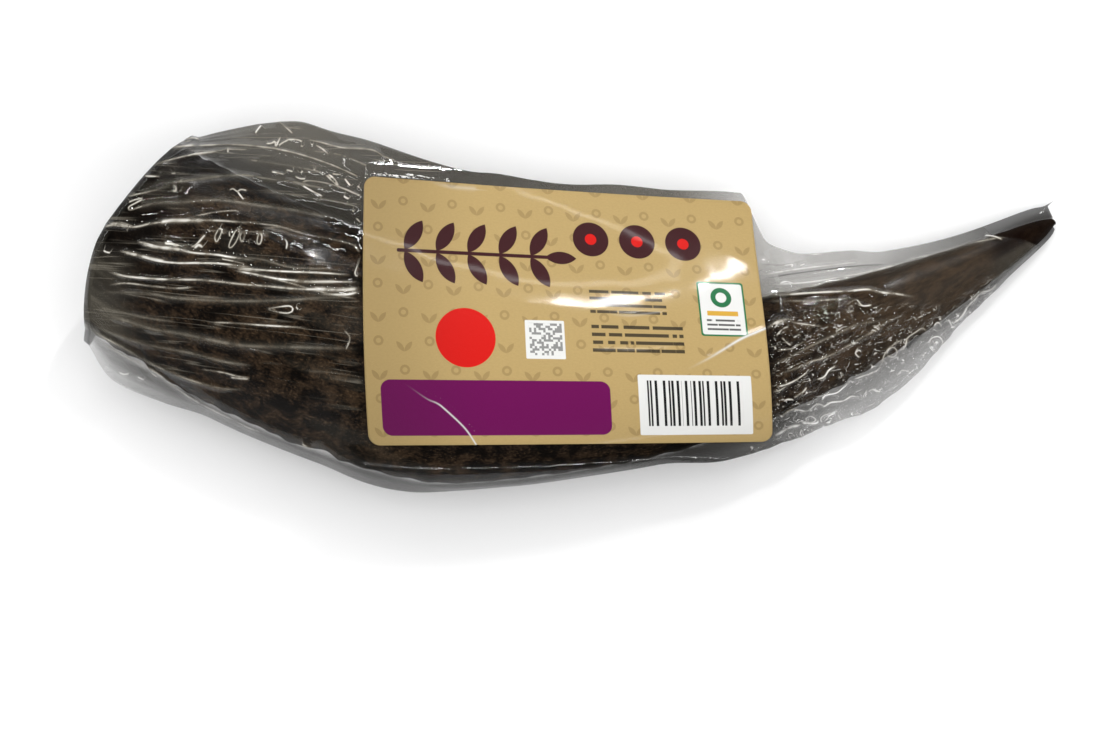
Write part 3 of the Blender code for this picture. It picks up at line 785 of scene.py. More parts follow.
# The webs at shares of the spine: veil and tone inside the curve. Outside it, where the web is dark beside
# the horn and clears towards its rim: veil beside the horn, veil at the rim, and tone. The webs' grey is
# partly the film's haze and partly painted shade of the floor beneath them
INNER_WEB_HAZE_AND_SHADE = (
    (0.0, 0.74, 0.07), (0.05, 0.73, 0.09), (0.30, 0.75, 0.06), (0.62, 0.68, 0.11), (0.72, 0.40, 0.48),
    (0.82, 0.45, 0.34), (0.93, 0.74, 0.08), (1.0, 0.82, 0.06),
)
OUTER_WEB_HAZE_AND_SHADE = (
    (0.0, 0.48, 0.16, 0.14), (0.05, 0.50, 0.18, 0.14), (0.12, 0.72, 0.38, 0.07), (0.25, 0.88, 0.58, 0.04),
    (0.40, 0.93, 0.80, 0.03), (0.58, 0.93, 0.80, 0.03), (0.66, 0.85, 0.60, 0.05), (0.72, 0.36, 0.34, 0.15),
    (0.82, 0.34, 0.30, 0.15), (0.93, 0.85, 0.55, 0.04), (1.0, 0.93, 0.85, 0.03),
)


def comes(value, span):
    """0 before the span and 1 after it."""
    return smooth_step(value, *span)


def goes(value, span):
    """1 before the span and 0 after it."""
    return smooth_step(-value, -span[1], -span[0])


def by_share(table, share):
    """The columns of a table whose first column is the share of the spine, read off at these shares."""
    at, *columns = zip(*table)
    return [np.interp(share, at, column) for column in columns]


def crinkled(picture):
    """How strongly the film is crinkled, from 0 to 1: on the lower side, between the label and the tip."""
    x, y = picture[..., 0], picture[..., 1]
    below = smooth_step(y - np.interp(x, CRINKLE_TOP_X, CRINKLE_TOP_Y), -4, 12)
    return below * comes(x, CRINKLE_STARTS_X) * goes(x, CRINKLE_ENDS_X)


def all_folds():
    """Every fold, with small loops and hooks as folds of one size."""
    squiggle = (SQUIGGLE_HEIGHT, SQUIGGLE_HALF_WIDTH, 0.0, SQUIGGLE_HIGHLIGHT)
    return (*BASE_FOLDS, *TIP_FOLDS, *((*squiggle, *places) for places in SQUIGGLES))


def fold_film(points, across, share, top, free):
    """Lifts the film in folds, pleats and crinkles.

    Returns the points, the veil beside the folds, the crinkle values, and for each set of folds the
    distance from the nearest one's crest in half widths, its height in mm and how pale its painted highlight
    is.
    """
    picture = to_picture(points)
    normal = grid_normals(points)
    lift = np.zeros(share.shape)
    veil = np.zeros(share.shape)
    sets = np.zeros((FOLD_SETS, *share.shape, 3))
    sets[..., 0] = FOLD_REACH
    run = share * SPINE_LENGTH
    for i, (height, half_width, haze, pale, *places) in enumerate(all_folds()):
        line = smooth_line(np.reshape(places, (-1, 2)))
        margin = FOLD_REACH * half_width
        low, high = line.min(axis=0) - margin, line.max(axis=0) + margin
        close = ((picture > low) & (picture < high)).all(axis=-1) & top
        off, reached = near_line(picture[close], line)
        off = off / half_width
        length = np.linalg.norm(np.diff(line, axis=0), axis=1).sum()
        fade = min(FOLD_FADE, STROKE_FADE / length) if half_width <= SQUIGGLE_HALF_WIDTH else FOLD_FADE
        ends = smooth_step(reached, 0.0, fade) * smooth_step(1 - reached, 0.0, fade)
        along_fold = np.stack([reached * length / UNEVEN_EVERY, off * 0 + i], -1)
        uneven = FOLD_PLAIN + FOLD_UNEVEN * noise(along_fold, 1.0, 40)
        crest = np.exp(-off**2) * ends
        lift[close] += height * MM * uneven * crest
        veil[close] += FOLD_HAZE * haze * np.exp(-((off / FOLD_HAZE_WIDTH) ** 2)) * ends
        near = ends * smooth_step(FOLD_REACH - np.abs(off), 1.0, 2.0)
        shown = near > 0
        overlap = [np.count_nonzero(one[close][:, 1:].any(axis=-1) & shown) for one in sets]
        chosen = int(np.argmin(overlap))
        here = sets[chosen][close]
        nearer = (np.abs(off) < np.abs(here[:, 0])) & (ends > 0)
        found = np.stack([off, height * uneven * near, pale * uneven * near], -1)
        sets[chosen][close] = np.where(nearer[:, None], found, here)
    lift, veil = lift * free, veil * free
    sets[..., 1:] *= free[..., None]
    # Fine pleats gathered at the base, lengthwise
    ring = np.linspace(0, 1, share.shape[1])[None, :] + 0 * share
    pleat_place = np.stack([ring * 60, share * 9], -1)
    pleats = np.abs(noise(pleat_place, 1.0, 50)) + 0.5 * np.abs(noise(pleat_place * 2, 1.0, 51))
    gather = smooth_step(FINE_PLEATS_END - share, 0, FINE_PLEATS_END) * smooth_step(share, 0.002, 0.02)
    lift += FINE_PLEATS * gather * pleats * free
    # Crinkles near the tip
    crinkle = crinkled(picture) * top * free
    surface = np.stack([run, across], -1)
    cosine, sine = math.cos(CRINKLE_TURN), math.sin(CRINKLE_TURN)
    skewed = surface @ np.array([[cosine, -sine], [sine, cosine]])
    rough = np.abs(noise(skewed, (5.5 * MM, 3.0 * MM), 60)) + 0.5 * noise(skewed, (2.4 * MM, 1.8 * MM), 61)
    lift += CRINKLE_HEIGHT * crinkle * rough
    # Slight waves everywhere, which break up the reflections
    lift += WAVE_HEIGHT * fractal(surface, WAVE_SIZE, 2, 70) * top * free
    return points + normal * lift[..., None], veil, crinkle, sets


def lay_under_card(points, top):
    """Brings the film up against the underside of the card."""
    u, v = card_at(points[..., 0], points[..., 1])
    outside = np.maximum(np.abs(u - 0.5) - 0.5, 0) * CARD_WIDTH
    outside = np.hypot(outside, np.maximum(np.abs(v - 0.5) - 0.5, 0) * CARD_HEIGHT)
    close = smooth_step(-outside, -FILM_RISES_FROM, -FILM_RISEN_AT) * top
    inside_u, inside_v = np.clip(u, 0, 1), np.clip(v, 0, 1)
    under = bend_terms(inside_u, inside_v) @ BEND - CARD_OVER_FILM
    under = under + card_creases(points)[0] * (outside > FREE_FROM)
    raised = points.copy()
    raised[..., 2] += (under - points[..., 2]) * close
    return raised, np.where(top, smooth_step(outside, FREE_FROM, FREE_AT), 1.0)


def clinging(points, share, across, crinkle):
    """How closely the film clings to the horn's rough skin, where it has no shine of its own."""
    half_width = along(HORN_WIDTH, share) / 2
    on_horn = smooth_step(half_width - np.abs(across), -1.0 * MM, 1.5 * MM)
    near_tip = comes(to_picture(points)[..., 0], CLINGS_X) * on_horn * (1 - crinkle)
    surface = np.stack([share * SPINE_LENGTH, across], -1)
    patches = smooth_step(fractal(surface, CLOUD_SIZE, 3, 90), -0.30, 0.35)
    near_base = 0.9 * smooth_step(0.40 - share, 0, 0.05) * patches * on_horn
    return np.maximum(near_tip, near_base)


def film_veil(points, share, across, top, folds):
    """(how opaque the film is, how pale and how warm by itself): greyer where it stands off the horn, partly
    as painted shade and painted reflection.
    """
    half_width = along(HORN_WIDTH, share) / 2
    picture = to_picture(points)
    x, y = picture[..., 0], picture[..., 1]
    inner = smooth_step(across - half_width, WEB_VEIL_STARTS, WEB_VEIL_FULL)
    outer = smooth_step(-across - half_width, WEB_VEIL_STARTS, WEB_VEIL_FULL)
    surface = np.stack([share * SPINE_LENGTH, across], -1)
    inner_veil, inner_tone = by_share(INNER_WEB_HAZE_AND_SHADE, share)
    beside_veil, rim_veil, outer_tone = by_share(OUTER_WEB_HAZE_AND_SHADE, share)
    web_width = np.maximum(along(WEB_OUTSIDE_CURVE, share), 0.5 * MM)
    reach = smooth_step((-across - half_width) / web_width, 0.2, 1.0)
    outer_veil = beside_veil + (rim_veil - beside_veil) * reach
    # Painted shadow: darker beside the horn's edge
    beside = smooth_step(half_width + WEB_SHADOW_WIDTH - across, 0, WEB_SHADOW_WIDTH)
    inner_tone = inner_tone * (1 - 0.65 * beside * smooth_step(0.55 - share, 0, 0.1))
    cloud = 1 + 0.25 * fractal(surface, CLOUD_SIZE, 3, 81)
    patch = smooth_step(fractal(surface, PATCH_SIZE, 3, 80), 0.05, 0.4)
    # The patches and the base's grey veil are partly haze and partly painted reflection
    over = OVER_HORN_VEIL + PATCH_HAZE_AND_REFLECTION * patch * smooth_step(0.45 - share, 0, 0.2)
    over = over + TIP_VEIL * comes(x, TIP_VEIL_X) * smooth_step(-share, -0.95, -0.90)
    over = over + TIP_SIDE_VEIL * smooth_step(share, 0.90, 0.94) * smooth_step(-across, 0, 2 * MM)
    wrinkles = 0.8 + 0.7 * fractal(surface, WRINKLE_SIZE, 2, 82)
    over = over + BASE_HAZE_AND_REFLECTION * wrinkles * goes(x, BASE_VEIL_ENDS_X) * comes(y, BASE_VEIL_STARTS_Y)
    over = over * (1 - inner) * (1 - outer)
    # Painted shade: where the base lies in deep shade, most of the folds' veil is left out so it stays dark
    black = goes(x, DEEP_SHADE_ENDS_X) * goes(y, DEEP_SHADE_ENDS_Y)
    over = over + np.where(top, folds, 0) * (1 - 0.8 * black)
    veil = over + inner_veil * inner + outer_veil * outer
    web_shade = inner_tone * inner_veil * inner + outer_tone * outer_veil * outer
    shade = OVER_HORN_TONE * over + web_shade * cloud
    # The end at the base, where the film stands past the horn's edge and gathers; above a line across it, its
    # near-black tone is painted shade of the base's hollow
    end = smooth_step(END_BAND - share, 0, END_BAND / 3)
    shaded = smooth_step(across, END_SHADE_ABOVE - END_FADE, END_SHADE_ABOVE + END_FADE)
    end_shade = END_VEIL * (END_TONE + (END_SHADE_TONE - END_TONE) * shaded)
    veil = np.clip(veil, 0, 1)
    cool = np.maximum(outer, inner * smooth_step(share, 0.60, 0.70))
    return veil + (END_VEIL - veil) * end, shade + (end_shade - shade) * end, 1 - 0.7 * cool


def make_film():
    start = -(FILM_GAP + BASE_WAVE) / SPINE_LENGTH
    rings = [film_ring(start, lip=FILM_LIP * (1 - i / FILM_LIP_RINGS)) for i in range(FILM_LIP_RINGS + 1)]
    rings += [film_ring(share) for share in film_shares()[1:]]
    rings += [film_ring(FILM_STRAIGHT_END, to_tip=(i + 1) / FILM_TIP_RINGS) for i in range(FILM_TIP_RINGS)]
    rings = np.array(rings)
    points, across, share = rings[..., :3], rings[..., 3], rings[..., 4]
    over = np.arange(points.shape[1]) <= FILM_TOP
    past_lip = np.arange(len(rings)) >= FILM_LIP_RINGS
    top = over[None, :] & past_lip[:, None]
    points, free = lay_under_card(points, top)
    points, folds, crinkle, sets = fold_film(points, across, share, top, free)
    veil, shade, warm = film_veil(points, share, across, top, folds)
    streaked = np.maximum(comes(across, PLEATED_FROM), smooth_step(0.2 - share, 0, 0.1))
    plain = {
        "veil": veil, "shade": shade, "warm": warm, "crinkle": crinkle,
        "cling": clinging(points, share, across, crinkle),
        # Where the painted highlight streaks show
        "streak_highlight_mask": streaked * smooth_step(STREAKS_END - share, 0, 0.12) * top * free,
    }
    attributes = {name: values.ravel() for name, values in plain.items()}
    attributes |= {f"folds_{i}": one.reshape(-1, 3) for i, one in enumerate(sets)}
    attributes["sheet"] = np.stack([share * SPINE_LENGTH / MM, across / MM, 0 * share], -1).reshape(-1, 3)
    return make_object("film_wrap", points, grid_faces(*share.shape, True).tolist(), attributes)


# Materials

class Nodes:
    """Short ways to add shader nodes to a new material."""

    def __init__(self, name):
        self.material = bpy.data.materials.new(name)
        self.material.use_nodes = True
        self.tree = self.material.node_tree
        self.tree.nodes.clear()

    def add(self, kind, inputs=(), **settings):
        made = self.tree.nodes.new("ShaderNode" + kind)
        for key, value in settings.items():
            setattr(made, key, value)
        for key, value in dict(inputs).items():
            if isinstance(value, bpy.types.NodeSocket):
                self.tree.links.new(value, made.inputs[key])
            else:
                made.inputs[key].default_value = value
        return made

    def calc(self, operation, *values, clamp=False):
        made = self.add("Math", dict(enumerate(values)), operation=operation, use_clamp=clamp)
        return made.outputs[0]

    times = functools.partialmethod(calc, "MULTIPLY")
    plus = functools.partialmethod(calc, "ADD")
    minus = functools.partialmethod(calc, "SUBTRACT")
    times_plus = functools.partialmethod(calc, "MULTIPLY_ADD")
    highest = functools.partialmethod(calc, "MAXIMUM")
    absolute = functools.partialmethod(calc, "ABSOLUTE")

    def parts(self, value):
        return self.add("SeparateXYZ", {0: value}).outputs

    def vector(self, operation, *values):
        return self.add("VectorMath", dict(enumerate(values)), operation=operation).outputs[0]

    def length(self, value):
        return self.add("VectorMath", {0: value}, operation="LENGTH").outputs["Value"]

    def attribute(self, name, output="Fac"):
        return self.add("Attribute", attribute_name=name).outputs[output]

    def noise(self, place, scale, detail=2.0, rough=0.5, distortion=0.0):
        inputs = {"Vector": place, "Scale": scale, "Detail": detail, "Roughness": rough}
        return self.add("TexNoise", inputs | {"Distortion": distortion}).outputs["Fac"]

    def ramp(self, value, low, high, to_low=0.0, to_high=1.0):
        inputs = {"Value": value, "From Min": low, "From Max": high, "To Min": to_low, "To Max": to_high}
        return self.add("MapRange", inputs, interpolation_type="SMOOTHSTEP").outputs["Result"]

    def mix(self, share, first, second):
        inputs = {0: share, 6: first, 7: second}
        return self.add("Mix", inputs, data_type="RGBA").outputs[2]

    def stretch(self, place, scale, location=(0, 0, 0), rotation=(0, 0, 0)):
        inputs = {"Vector": place, "Scale": scale, "Location": location, "Rotation": rotation}
        return self.add("Mapping", inputs).outputs[0]

    def bump(self, height, distance, normal=None):
        inputs = {"Height": height, "Distance": distance, "Strength": 1.0}
        if normal:
            inputs["Normal"] = normal
        return self.add("Bump", inputs).outputs[0]

    def finish(self, surface):
        self.add("OutputMaterial", {"Surface": surface})
        return self.material

    def principled(self, inputs):
        return self.finish(self.add("BsdfPrincipled", inputs).outputs[0])


HORN_BLACK = (0.0018, 0.0010, 0.0006, 1)
HORN_BROWN = (0.042, 0.0255, 0.0140, 1)
HORN_TAN = (0.105, 0.068, 0.039, 1)
# Under the crinkled film near the tip, and on the bare tip
HORN_NEAR_TIP = (0.046, 0.0285, 0.0160, 1)
HORN_NEAR_TIP_DARK = (0.022, 0.0135, 0.0075, 1)
HORN_TIP = (0.0040, 0.0012, 0.0003, 1)
# Where these colours start and are full, in metres along the horn
NEAR_TIP_RUN = (0.175, 0.225)
TIP_RUN = (0.249, 0.259)
# Where the black of the cut base, partly the horn's own colour and partly painted shade, starts to go and has
# gone, and how strong it is
BASE_BLACK_AND_SHADE_RUN = (-0.006, 0.016)
BASE_BLACK_AND_SHADE = 0.9
HORN_BUMP = 0.0003


def horn_material():
    """Near-black keratin with brown mottles, lengthwise fibres and a fine grain, and black near the cut base
    that is partly painted shade.
    """
    n = Nodes("horn_keratin")
    flow = n.attribute("flow", "Vector")
    fibre = n.noise(n.stretch(flow, (120, 900, 900)), 1.0, 4, 0.6)
    mottle = n.noise(n.stretch(flow, (170, 260, 260)), 1.0, 5, 0.68, 0.6)
    grain = n.noise(n.stretch(flow, (1300, 1700, 1700)), 1.0, 3, 0.6)
    bands = n.noise(n.stretch(flow, (330, 60, 60)), 1.0, 3, 0.6)
    spots = n.plus(n.times(mottle, 0.55), n.times(grain, 0.25))
    brown = n.ramp(n.plus(spots, n.times(bands, 0.2)), 0.43, 0.62)
    colour = n.mix(brown, HORN_BLACK, HORN_BROWN)
    fleck = n.times(n.ramp(grain, 0.56, 0.74), n.ramp(mottle, 0.42, 0.62))
    fleck = n.times(fleck, 0.7)
    colour = n.mix(fleck, colour, HORN_TAN)
    dark = n.ramp(fibre, 0.30, 0.52, 0.55, 0.0)
    colour = n.mix(dark, colour, HORN_BLACK)
    # Black near the cut base, partly the horn's own colour and partly painted shade, then browner near the
    # tip and black on it
    run = n.parts(flow)[0]
    ends = n.plus(run, n.times(n.noise(flow, 60, 2), -0.020))
    colour = n.mix(n.ramp(ends, *BASE_BLACK_AND_SHADE_RUN, BASE_BLACK_AND_SHADE, 0.0), colour, HORN_BLACK)
    streaks = n.ramp(n.plus(n.times(mottle, 0.5), n.times(fibre, 0.5)), 0.40, 0.60)
    near = n.mix(streaks, HORN_NEAR_TIP_DARK, HORN_NEAR_TIP)
    colour = n.mix(n.ramp(run, *NEAR_TIP_RUN, 0.0, 0.85), colour, near)
    colour = n.mix(n.ramp(run, *TIP_RUN, 0.0, n.ramp(mottle, 0.35, 0.65, 0.97, 0.78)), colour, HORN_TIP)
    relief = n.plus(n.times(fibre, 0.6), n.times(grain, 0.5))
    return n.principled({
        "Base Color": colour, "Roughness": n.ramp(mottle, 0.3, 0.7, 0.55, 0.75),
        "Normal": n.bump(relief, HORN_BUMP), "Specular IOR Level": 0.04,
    })


FILM_GLOSS = 0.035
FILM_GLOSS_EDGE = 0.50
FILM_ROUGHNESS = 0.03
FILM_ROUGHNESS_CLINGING = 0.42
# The share of its gloss that film loses where it clings
CLINGING_LOSES = 0.6
# The tone of the painted highlight lines
PAINTED_HIGHLIGHT_TONE = 0.92
# How fast a fold's crest and the painted highlight line on it fall off, with the distance in half widths
# squared
CREST_FALLS = -1.6
LINE_FALLS = -11.0
# The painted highlight streaks fan out from this place along the horn
STREAK_FOOT = 0.05
STREAK_HIGHLIGHT = 0.11
STREAK_SLOPE = 0.10
STREAK_FAN = -2.0
# How much less green and blue a warm veil reflects
HAZE_TINT = (-0.10, -0.30)
RIPPLE_BUMP = 0.00006
FOLD_BUMP = 0.0006
CRINKLE_BUMP = 0.0011


def film_folds(n):
    """(height in mm, paleness of the painted highlights, darkness) of the folds' crests."""
    height, pale, dark = 0.0, 0.0, 0.0
    for i in range(FOLD_SETS):
        off, rise, line = n.parts(n.attribute(f"folds_{i}", "Vector"))
        squared = n.times(off, off)
        crest = n.calc("EXPONENT", n.times(squared, CREST_FALLS))
        thin = n.times(n.calc("EXPONENT", n.times(squared, LINE_FALLS)), line)
        height = n.times_plus(crest, rise, height)
        pale = n.highest(pale, thin)
        dark = n.calc("MINIMUM", dark, thin)
    return height, pale, n.times(dark, -1.0)


def crinkle_lines(n, sheet):
    """(height, paleness of painted highlights) of small arcs and loops, and of wavy lines along the horn."""
    bent = n.add("TexNoise", {"Vector": sheet, "Scale": 0.30, "Detail": 1.0}).outputs["Color"]
    shift = n.vector("MULTIPLY", n.vector("SUBTRACT", bent, (0.5, 0.5, 0.5)), (5.0, 4.0, 0))
    place = n.vector("ADD", sheet, shift)
    cells = n.noise(n.stretch(place, (0.42, 0.62, 1)), 1.0, 1.0, 0.4, 0.7)
    loops = n.ramp(n.absolute(n.minus(cells, 0.52)), 0.0, 0.028, 1.0, 0.0)
    rows = n.calc("SINE", n.times(n.parts(place)[1], 1.25))
    lines = n.ramp(n.absolute(rows), 0.0, 0.14, 1.0, 0.0)
    broken = n.ramp(n.noise(n.stretch(sheet, (0.35, 0.5, 1)), 1.0, 2.0), 0.50, 0.64)
    other = n.ramp(n.noise(n.stretch(sheet, (0.30, 0.8, 1), (7, 3, 0)), 1.0, 2.0), 0.50, 0.64)
    return cells, n.highest(n.times(loops, broken), n.times(lines, other))


def fine_streak_highlights(n):
    """How pale the fine streaks are that fan out between the folds over the horn's base: painted highlights.
    """
    x, y = n.parts(n.add("TexCoord").outputs["Object"])[:2]
    slope = n.times_plus(y, STREAK_FAN, STREAK_SLOPE)
    level = n.times_plus(n.plus(x, STREAK_FOOT), slope, y)
    place = n.add("CombineXYZ", {"X": x, "Y": level}).outputs[0]
    waves = n.noise(n.stretch(place, (18, 420, 1), (3, 5, 0)), 1.0, 1.0, 0.5, 0.1)
    lines = n.ramp(n.absolute(n.minus(waves, 0.5)), 0.0, 0.03, STREAK_HIGHLIGHT, 0.0)
    broken = n.ramp(n.noise(n.stretch(place, (50, 250, 1), (1, 9, 0)), 1.0, 2.0), 0.44, 0.62)
    return n.times(n.times(lines, broken), n.attribute("streak_highlight_mask"))


def film_material():
    """Clear film, with a gloss that grows where it is seen edge-on, a grey veil where it stands off, painted
    highlight lines, and painted shade and reflection in its veil.
    """
    n = Nodes("shrink_film")
    sheet = n.attribute("sheet", "Vector")
    crinkle = n.attribute("crinkle")
    height, pale, dark = film_folds(n)
    cells, arcs = crinkle_lines(n, sheet)
    along_line = n.ramp(n.noise(n.stretch(sheet, (0.22, 0.1, 1)), 1.0, 3.0, 0.6), 0.34, 0.60, 0.25, 1.0)
    pale = n.times(pale, along_line)
    # Painted highlights: arcs and loops in the crinkles
    pale = n.highest(pale, n.times(n.times(arcs, crinkle), 0.85))
    pale = n.highest(pale, fine_streak_highlights(n))
    veil, shade = n.attribute("veil"), n.attribute("shade")
    # Painted highlight lines lie over the veil, and what stays clear is neither
    clear_share = n.times(n.minus(1.0, veil), n.minus(1.0, pale))
    clear_share = n.times(clear_share, n.minus(1.0, dark))
    opaque = n.minus(1.0, clear_share)
    shade = n.times(shade, n.minus(1.0, dark))
    shade = n.times_plus(n.minus(PAINTED_HIGHLIGHT_TONE, shade), pale, shade)
    tone = n.calc("DIVIDE", shade, n.highest(opaque, 0.001))
    warm = n.times(n.attribute("warm"), n.minus(1.0, pale))
    green, blue = (n.times(tone, n.times_plus(warm, part, 1.0)) for part in HAZE_TINT)
    grey = n.add("CombineColor", {"Red": tone, "Green": green, "Blue": blue})
    ripples = n.noise(n.stretch(sheet, (0.25, 0.6, 1)), 1.0, 2, 0.5, 0.4)
    folded = n.bump(height, FOLD_BUMP, n.bump(ripples, RIPPLE_BUMP))
    normal = n.bump(n.times(cells, crinkle), CRINKLE_BUMP, folded)
    haze = n.add("BsdfDiffuse", {"Color": grey.outputs[0]})
    clear = n.add("BsdfTransparent", {"Color": (1, 1, 1, 1)})
    body = n.add("MixShader", {0: opaque, 1: clear.outputs[0], 2: haze.outputs[0]})
    rough = n.ramp(n.attribute("cling"), 0.0, 1.0, FILM_ROUGHNESS, FILM_ROUGHNESS_CLINGING)
    gloss = n.add("BsdfAnisotropic", {"Color": (1, 1, 1, 1), "Roughness": rough, "Normal": normal})
    facing = n.add("LayerWeight", {"Blend": 0.5, "Normal": folded}).outputs["Facing"]
    shine = n.times_plus(n.calc("POWER", facing, 4.0), FILM_GLOSS_EDGE, FILM_GLOSS, clamp=True)
    free = n.times_plus(n.attribute("cling"), -CLINGING_LOSES, 1.0)
    shine = n.times(shine, free)
    surface = n.add("MixShader", {0: shine, 1: body.outputs[0], 2: gloss.outputs[0]})
    return n.finish(surface.outputs[0])


KRAFT = (0.47, 0.335, 0.140, 1)
KRAFT_DARK = (0.31, 0.213, 0.086, 1)
MAROON = (0.045, 0.010, 0.012, 1)
PURPLE = (0.140, 0.004, 0.083, 1)
RED = (0.62, 0.010, 0.007, 1)
WHITE = (0.74, 0.74, 0.72, 1)
INK = (0.012, 0.012, 0.012, 1)
GREEN = (0.02, 0.16, 0.06, 1)
OCHRE = (0.62, 0.36, 0.05, 1)
CARD_BACK_DARK = (0.42, 0.31, 0.17, 1)
CARD_BACK = (0.60, 0.46, 0.27, 1)
CARD_BUMP = 0.00006
EDGE_SOFT = 0.09
# Places and sizes on the card are in mm from its lower left corner
MOTIF_STEP = (13.5, 7.6)
SPRIG_FOOT = (9.5, 52.1)
SPRIG_STEM = ((9, 51.6), (51, 52.6), 0.4)
SPRIG_REACH = ((9.2, 42), (51.4, 62.5), 0.1)
SPRIG_END = (49.5, 52.1)
LEAF_STEP = 8.6
SIDE_LEAF = (9.6, 4.0)
END_LEAF = (8.6, 3.6)
BARS = ((75.0, 5.0), (101.0, 18.0), 0.1)
BAR_WAVES = (3.1, 5.3)
SQUARES = ((44.1, 24.6), (52.9, 33.4), 0.02)
SQUARE_SIZE = 0.63
# Boxes of thin broken rules: two corners, and how far apart the rules are
RULED_BOXES = (
    ((61.0, 25.2), (86.0, 33.9), 2.2), ((61.0, 36.2), (82.0, 43.9), 1.9), ((92.9, 32.4), (102.1, 36.2), 1.3),
)
RINGED_DISCS = ((62.5, 58.0), (75.5, 58.0), (88.5, 58.0))
# From the bottom layer up: a colour, with a disc's centre and radius, or a panel's two corners and rounding
CARD_PRINT = (
    *((tone, centre, radius) for centre in RINGED_DISCS for tone, radius in ((MAROON, 5.0), (RED, 1.6))),
    (RED, (27.0, 29.0), 8.0),
    (PURPLE, (4.0, 2.6), (65.0, 17.6), 2.6),
    (WHITE, (72.6, 2.4), (103.6, 19.6), 0.4),
    (GREEN, (91.0, 31.0), (104.0, 47.0), 0.8),
    (WHITE, (91.5, 31.5), (103.5, 46.5), 0.6),
    (GREEN, (97.5, 42.4), 2.9),
    (WHITE, (97.5, 42.4), 1.5),
    (OCHRE, (93.2, 37.0), (101.8, 38.4), 0.2),
    (WHITE, (43.0, 23.6), (53.6, 34.2), 0.3),
)
MOTIF_STRENGTH = 0.7
CREASE_FALLS = -7.0
# Painted shade: the card darkens towards its left edge, over this width and by this much
CARD_SHADE_WIDTH = 36.0
CARD_PAINTED_SHADE = 0.24


def inside(n, distance):
    """1 inside an outline and 0 outside it, from the distance to it in mm."""
    return n.ramp(distance, -EDGE_SOFT, EDGE_SOFT, 1.0, 0.0)


def disc(n, card, centre, radius):
    away = n.length(n.vector("SUBTRACT", card, (*centre, 0)))
    return inside(n, n.minus(away, radius))


def panel(n, card, low, high, radius):
    """A rectangle with rounded corners."""
    middle = [(a + b) / 2 for a, b in zip(low, high)]
    half = [(b - a) / 2 - radius for a, b in zip(low, high)]
    away = n.vector("ABSOLUTE", n.vector("SUBTRACT", card, (*middle, 0)))
    past = n.vector("MAXIMUM", n.vector("SUBTRACT", away, (*half, 0)), (0, 0, 0))
    return inside(n, n.minus(n.length(past), radius))


def leaf(n, place, length, width):
    """A pointed leaf along X, from 0 to its length: where two equal discs overlap."""
    radius = (length**2 / 4 + width**2 / 4) / width
    shift = radius - width / 2
    upper = n.length(n.vector("SUBTRACT", place, (length / 2, -shift, 0)))
    lower = n.length(n.vector("SUBTRACT", place, (length / 2, shift, 0)))
    return inside(n, n.minus(n.highest(upper, lower), radius))


def broken_rules(n, card, low, high, step):
    """Thin rules in rows this far apart, with gaps of uneven length."""
    across, height = n.parts(card)[:2]
    up = n.calc("DIVIDE", n.minus(height, low[1]), step)
    row = n.calc("FLOOR", up)
    off = n.absolute(n.minus(n.minus(up, row), 0.5))
    line = inside(n, n.minus(n.times(off, step), 0.22 * step))
    place = n.add("CombineXYZ", {0: n.times(across, 1.1 / step), 1: n.times(row, 7.3)}).outputs[0]
    gaps = n.ramp(n.noise(place, 1.0, 1.0), 0.38, 0.42)
    return n.times(n.times(line, gaps), panel(n, card, low, high, 0.05))


def small_motifs(n, card):
    """Small leaves and rings in rows that are shifted by half a step from one to the next."""
    row = n.calc("FLOOR", n.calc("DIVIDE", n.parts(card)[1], MOTIF_STEP[1]))
    shift = n.add("CombineXYZ", {0: n.times(row, MOTIF_STEP[0] / 2)}).outputs[0]
    shifted = n.vector("ADD", card, shift)
    cell = n.vector("MODULO", shifted, (*MOTIF_STEP, 1.0))
    middle = n.vector("SUBTRACT", cell, (MOTIF_STEP[0] / 2, MOTIF_STEP[1] / 2, 0))
    both = 0.0
    foot = n.vector("SUBTRACT", middle, (-2.8, -1.6, 0))
    for angle in (-52, -128):
        turned = n.stretch(foot, (1, 1, 1), (0, 0, 0), (0, 0, math.radians(angle)))
        both = n.highest(both, leaf(n, turned, 3.4, 1.3))
    away = n.length(n.vector("SUBTRACT", middle, (3.9, 1.2, 0)))
    ring = inside(n, n.minus(n.absolute(n.minus(away, 1.0)), 0.34))
    return n.highest(both, ring)


